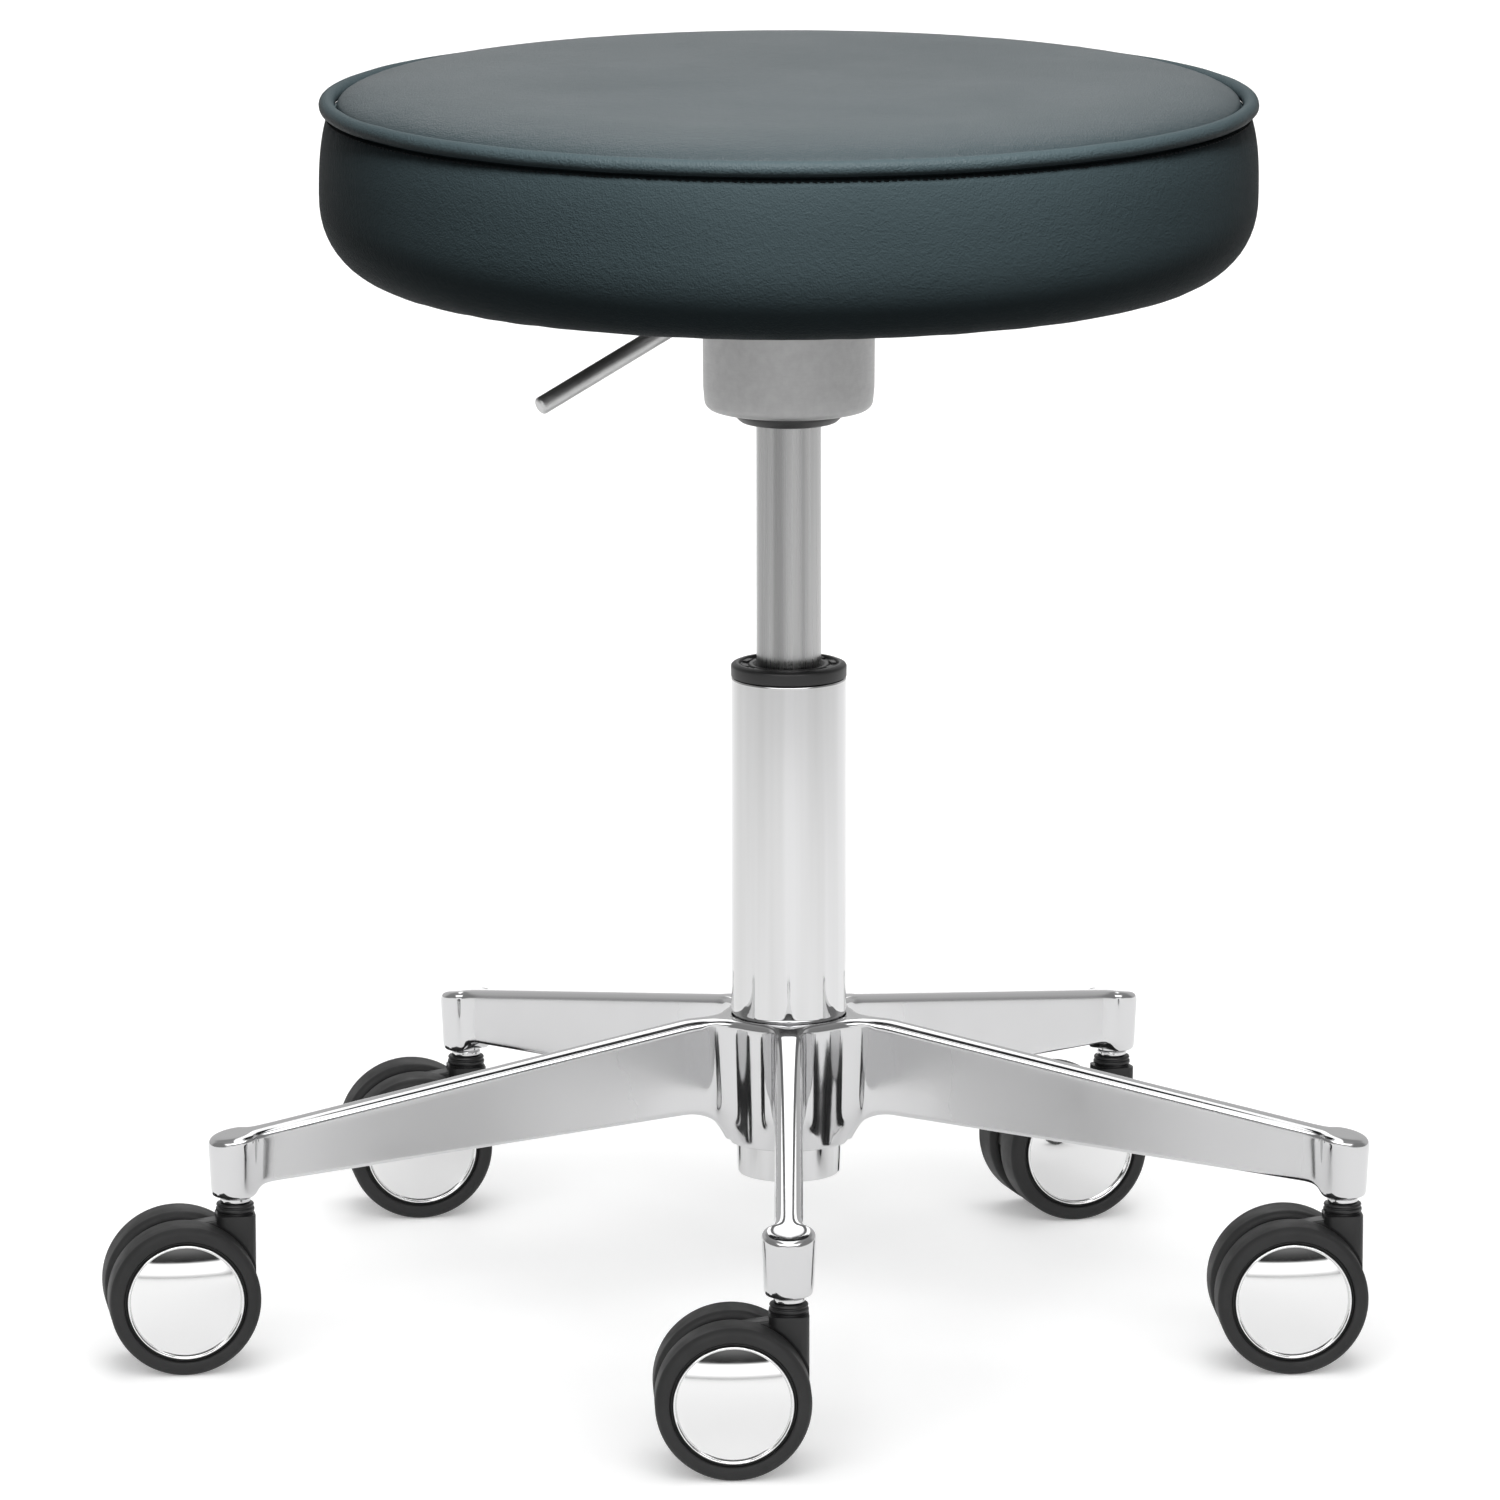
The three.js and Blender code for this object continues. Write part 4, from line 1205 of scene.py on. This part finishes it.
def panel_outline():
    points = [(0, 528.0), (188, 528.0), (192.6, 529.6), (CROWN_EDGE, SEAM_HEIGHT)]
    steps = 18
    for index in range(steps + 1):
        turn = index / steps * math.pi / 2
        radius = CROWN_FLAT + (CROWN_EDGE - CROWN_FLAT) * math.cos(turn) ** 0.9
        height = SEAM_HEIGHT + 1.6 + (SEAT_TOP - SEAM_HEIGHT - 1.6) * math.sin(turn)
        points.append((radius, height))
    points += [(110, SEAT_TOP + 0.1), (80, SEAT_TOP + 0.15), (50, SEAT_TOP + 0.2), (24, SEAT_TOP + 0.2)]
    points.append((0, SEAT_TOP + 0.2))
    return points


def stretch_panel(bm):
    for corner in bm.verts:
        radius = math.hypot(corner.co.x, corner.co.y)
        if corner.co.z < SEAM_HEIGHT:
            continue
        slow = noise.noise(Vector((corner.co.x / 95, corner.co.y / 95, 3.0)))
        edge = max(0.0, min(1.0, (radius - 168) / 25))
        pucker = noise.noise(Vector((corner.co.x / 6.5, corner.co.y / 6.5, 11.0)))
        corner.co.z += 0.05 * slow * (1 - edge) + 0.3 * edge * pucker - 0.4 * (1 - edge)
    return bm


panel = turned(panel_outline(), steps=300)
stretch_panel(panel)
panel_piece = piece(
    "seat_panel", panel, panel_leather_painted_light, "seat", "leatherette", ["seat_top_cover", "seat_foam"], 60,
)
print("panel crowned", round(SEAT_TOP - SEAM_HEIGHT, 1), "mm above its seam")

# %% Piping and the seam under it
PIPING_RING = 197.7
PIPING_RADIUS = 3.4
PIPING_HEIGHT = 535.2


def ring_of(radius, height, thickness, steps=360, sides=20):
    """A round cord laid in a ring."""
    bm = bmesh.new()
    upright_ring = Matrix.Translation((radius, 0, height)) @ Matrix.Rotation(math.pi / 2, 4, "X")
    bmesh.ops.create_circle(bm, cap_ends=False, radius=thickness, segments=sides, matrix=upright_ring)
    bmesh.ops.spin(
        bm, geom=bm.verts[:] + bm.edges[:], cent=(0, 0, 0), axis=(0, 0, 1), angle=math.tau,
        steps=steps, use_merge=True,
    )
    bmesh.ops.remove_doubles(bm, verts=bm.verts, dist=1e-4)
    bmesh.ops.recalc_face_normals(bm, faces=bm.faces)
    return bm


def unsteady(bm, amount, fineness):
    """A hand-fed cord never runs quite true, so it wanders a little along its way."""
    for corner in bm.verts:
        around = math.atan2(corner.co.y, corner.co.x)
        spot = Vector((math.cos(around), math.sin(around), 0))
        corner.co.z += amount * noise.noise(spot * fineness + Vector((0, 0, 5)))
        corner.co += spot * amount * 0.8 * noise.noise(spot * fineness + Vector((0, 0, 9)))
    return bm


piping = unsteady(ring_of(PIPING_RING, PIPING_HEIGHT, PIPING_RADIUS), 0.28, 7)
piping_piece = piece("seat_piping_cord", piping, piping_leather_painted_light, "seat", "leatherette", ["seat_piping"], 80)

welt = unsteady(ring_of(195.4, 531.4, 0.9, sides=12), 0.3, 30)
welt_piece = piece("seat_welt_lip", welt, leather, "seat", "leatherette", (), 80)
print("piping is", 2 * PIPING_RADIUS, "mm thick")

# %% [markdown]
# The leatherette is so matt that the room alone leaves it black. Three small lamps stand in for the
# glow of a near soft box, high in front and behind, and light nothing but the seat's cover.

# %% Lamps for the cover
LAMP_HEIGHT = 1.35
LAMP_REACH = 0.73
AIM_REACH = 0.2


def cover_lamp(name, way, watts, pieces):
    """A lamp for a few pieces only, in front for -1 and behind for 1."""
    place = (axis_x + 0.08, axis_y + way * LAMP_REACH, LAMP_HEIGHT)
    lamp = soft_light(name, place, (0.3, 0.25), watts, (axis_x, axis_y + way * AIM_REACH, 0.5))
    lit = bpy.data.collections.new(f"{name}_pieces")
    for made in pieces:
        lit.objects.link(made)
    lamp.light_linking.receiver_collection = lit


cover_lamp("edge_lamp_front", -1, 130, [border_piece, piping_piece, welt_piece])
cover_lamp("edge_lamp_back", 1, 130, [border_piece, welt_piece])
cover_lamp("panel_lamp", -1, 20, [panel_piece])
print("three lamps light the cover")

# %% Stitches
def stitch_row():
    """Short threads that lie along the seam, each half sunk in the leatherette."""
    bm = bmesh.new()
    length, thick = STITCH_PITCH * 0.6, 0.38
    lean = Matrix.Rotation(math.pi / 2 - 0.12, 4, "X")
    in_seam = Matrix.Translation((NECK[0] + 0.05, 0, NECK[1] + 0.1))
    for index in range(stitches):
        where = Matrix.Rotation(math.tau * index / stitches, 4, "Z") @ in_seam @ lean
        bmesh.ops.create_cone(
            bm, cap_ends=True, segments=6, radius1=thick, radius2=thick, depth=length, matrix=where,
        )
    return bm


thread_finish = plain_finish("sewing_thread", (0.001, 0.0015, 0.002), 0.8, Specular_IOR_Level=0.1)
relief(thread_finish, pattern(thread_finish, scale=3000, detail=2), 0.4, 0.0001)
piece("seat_stitches", stitch_row(), thread_finish, "seat", "leatherette", (), 80)
print(stitches, "stitches sewn")

# %% Dust cloth and staples
dust_cloth = turned([
    (0, 457.9), (147, 457.9, 0.2), (149.5, 458.3, 0.2), (149.5, 458.7), (0, 458.7),
], steps=96)
piece("dust_cloth", dust_cloth, cloth, "seat", "dust_cloth", ["seat_dust_cover"])


def staples():
    """Wire staples round the edge of the dust cloth, set by hand and so not quite even."""
    chance = random.Random(4)
    bm = bmesh.new()
    count = 44
    wire = Matrix.Diagonal((0.9, 9.5, 0.6, 1))
    for index in range(count):
        turn = math.tau * index / count + chance.uniform(-0.02, 0.02)
        lean = Matrix.Rotation(chance.uniform(-0.35, 0.35), 4, "Z")
        place = Matrix.Rotation(turn, 4, "Z") @ Matrix.Translation((144.5, 0, 457.75))
        bmesh.ops.create_cube(bm, size=1, matrix=place @ lean @ wire)
    bevel_all(bm, bm.edges[:], 0.15, 1)
    return bm


piece("cloth_staples", staples(), zinc, "seat", "zinc_steel")
print("seat made")

# %% [markdown]
# ## Hidden parts that stay
# The parts inside the column, the casters and the seat keep their plain solids. They still get a
# real finish, because a seat that is raised or looked at from below shows some of them.

# %% Finishes for the frame's own parts
kept = {
    "seat_board": plywood,
    "lever_pivot_pin": zinc,
    "valve_pin": zinc,
    "piston_rod": zinc,
    "thrust_bearing": zinc,
    "retaining_clip": zinc,
    "bump_stop": plastic,
}
for name, _ in casters:
    kept[f"caster_{name}_axle"] = zinc
for node, finish in kept.items():
    for place in frame["nodes"][node].material_slots:
        place.material = finish
print(len(kept), "plain parts finished")

# %% Sizes
low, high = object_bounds()
print("visual", [round(v, 4) for v in [*low, *high]])
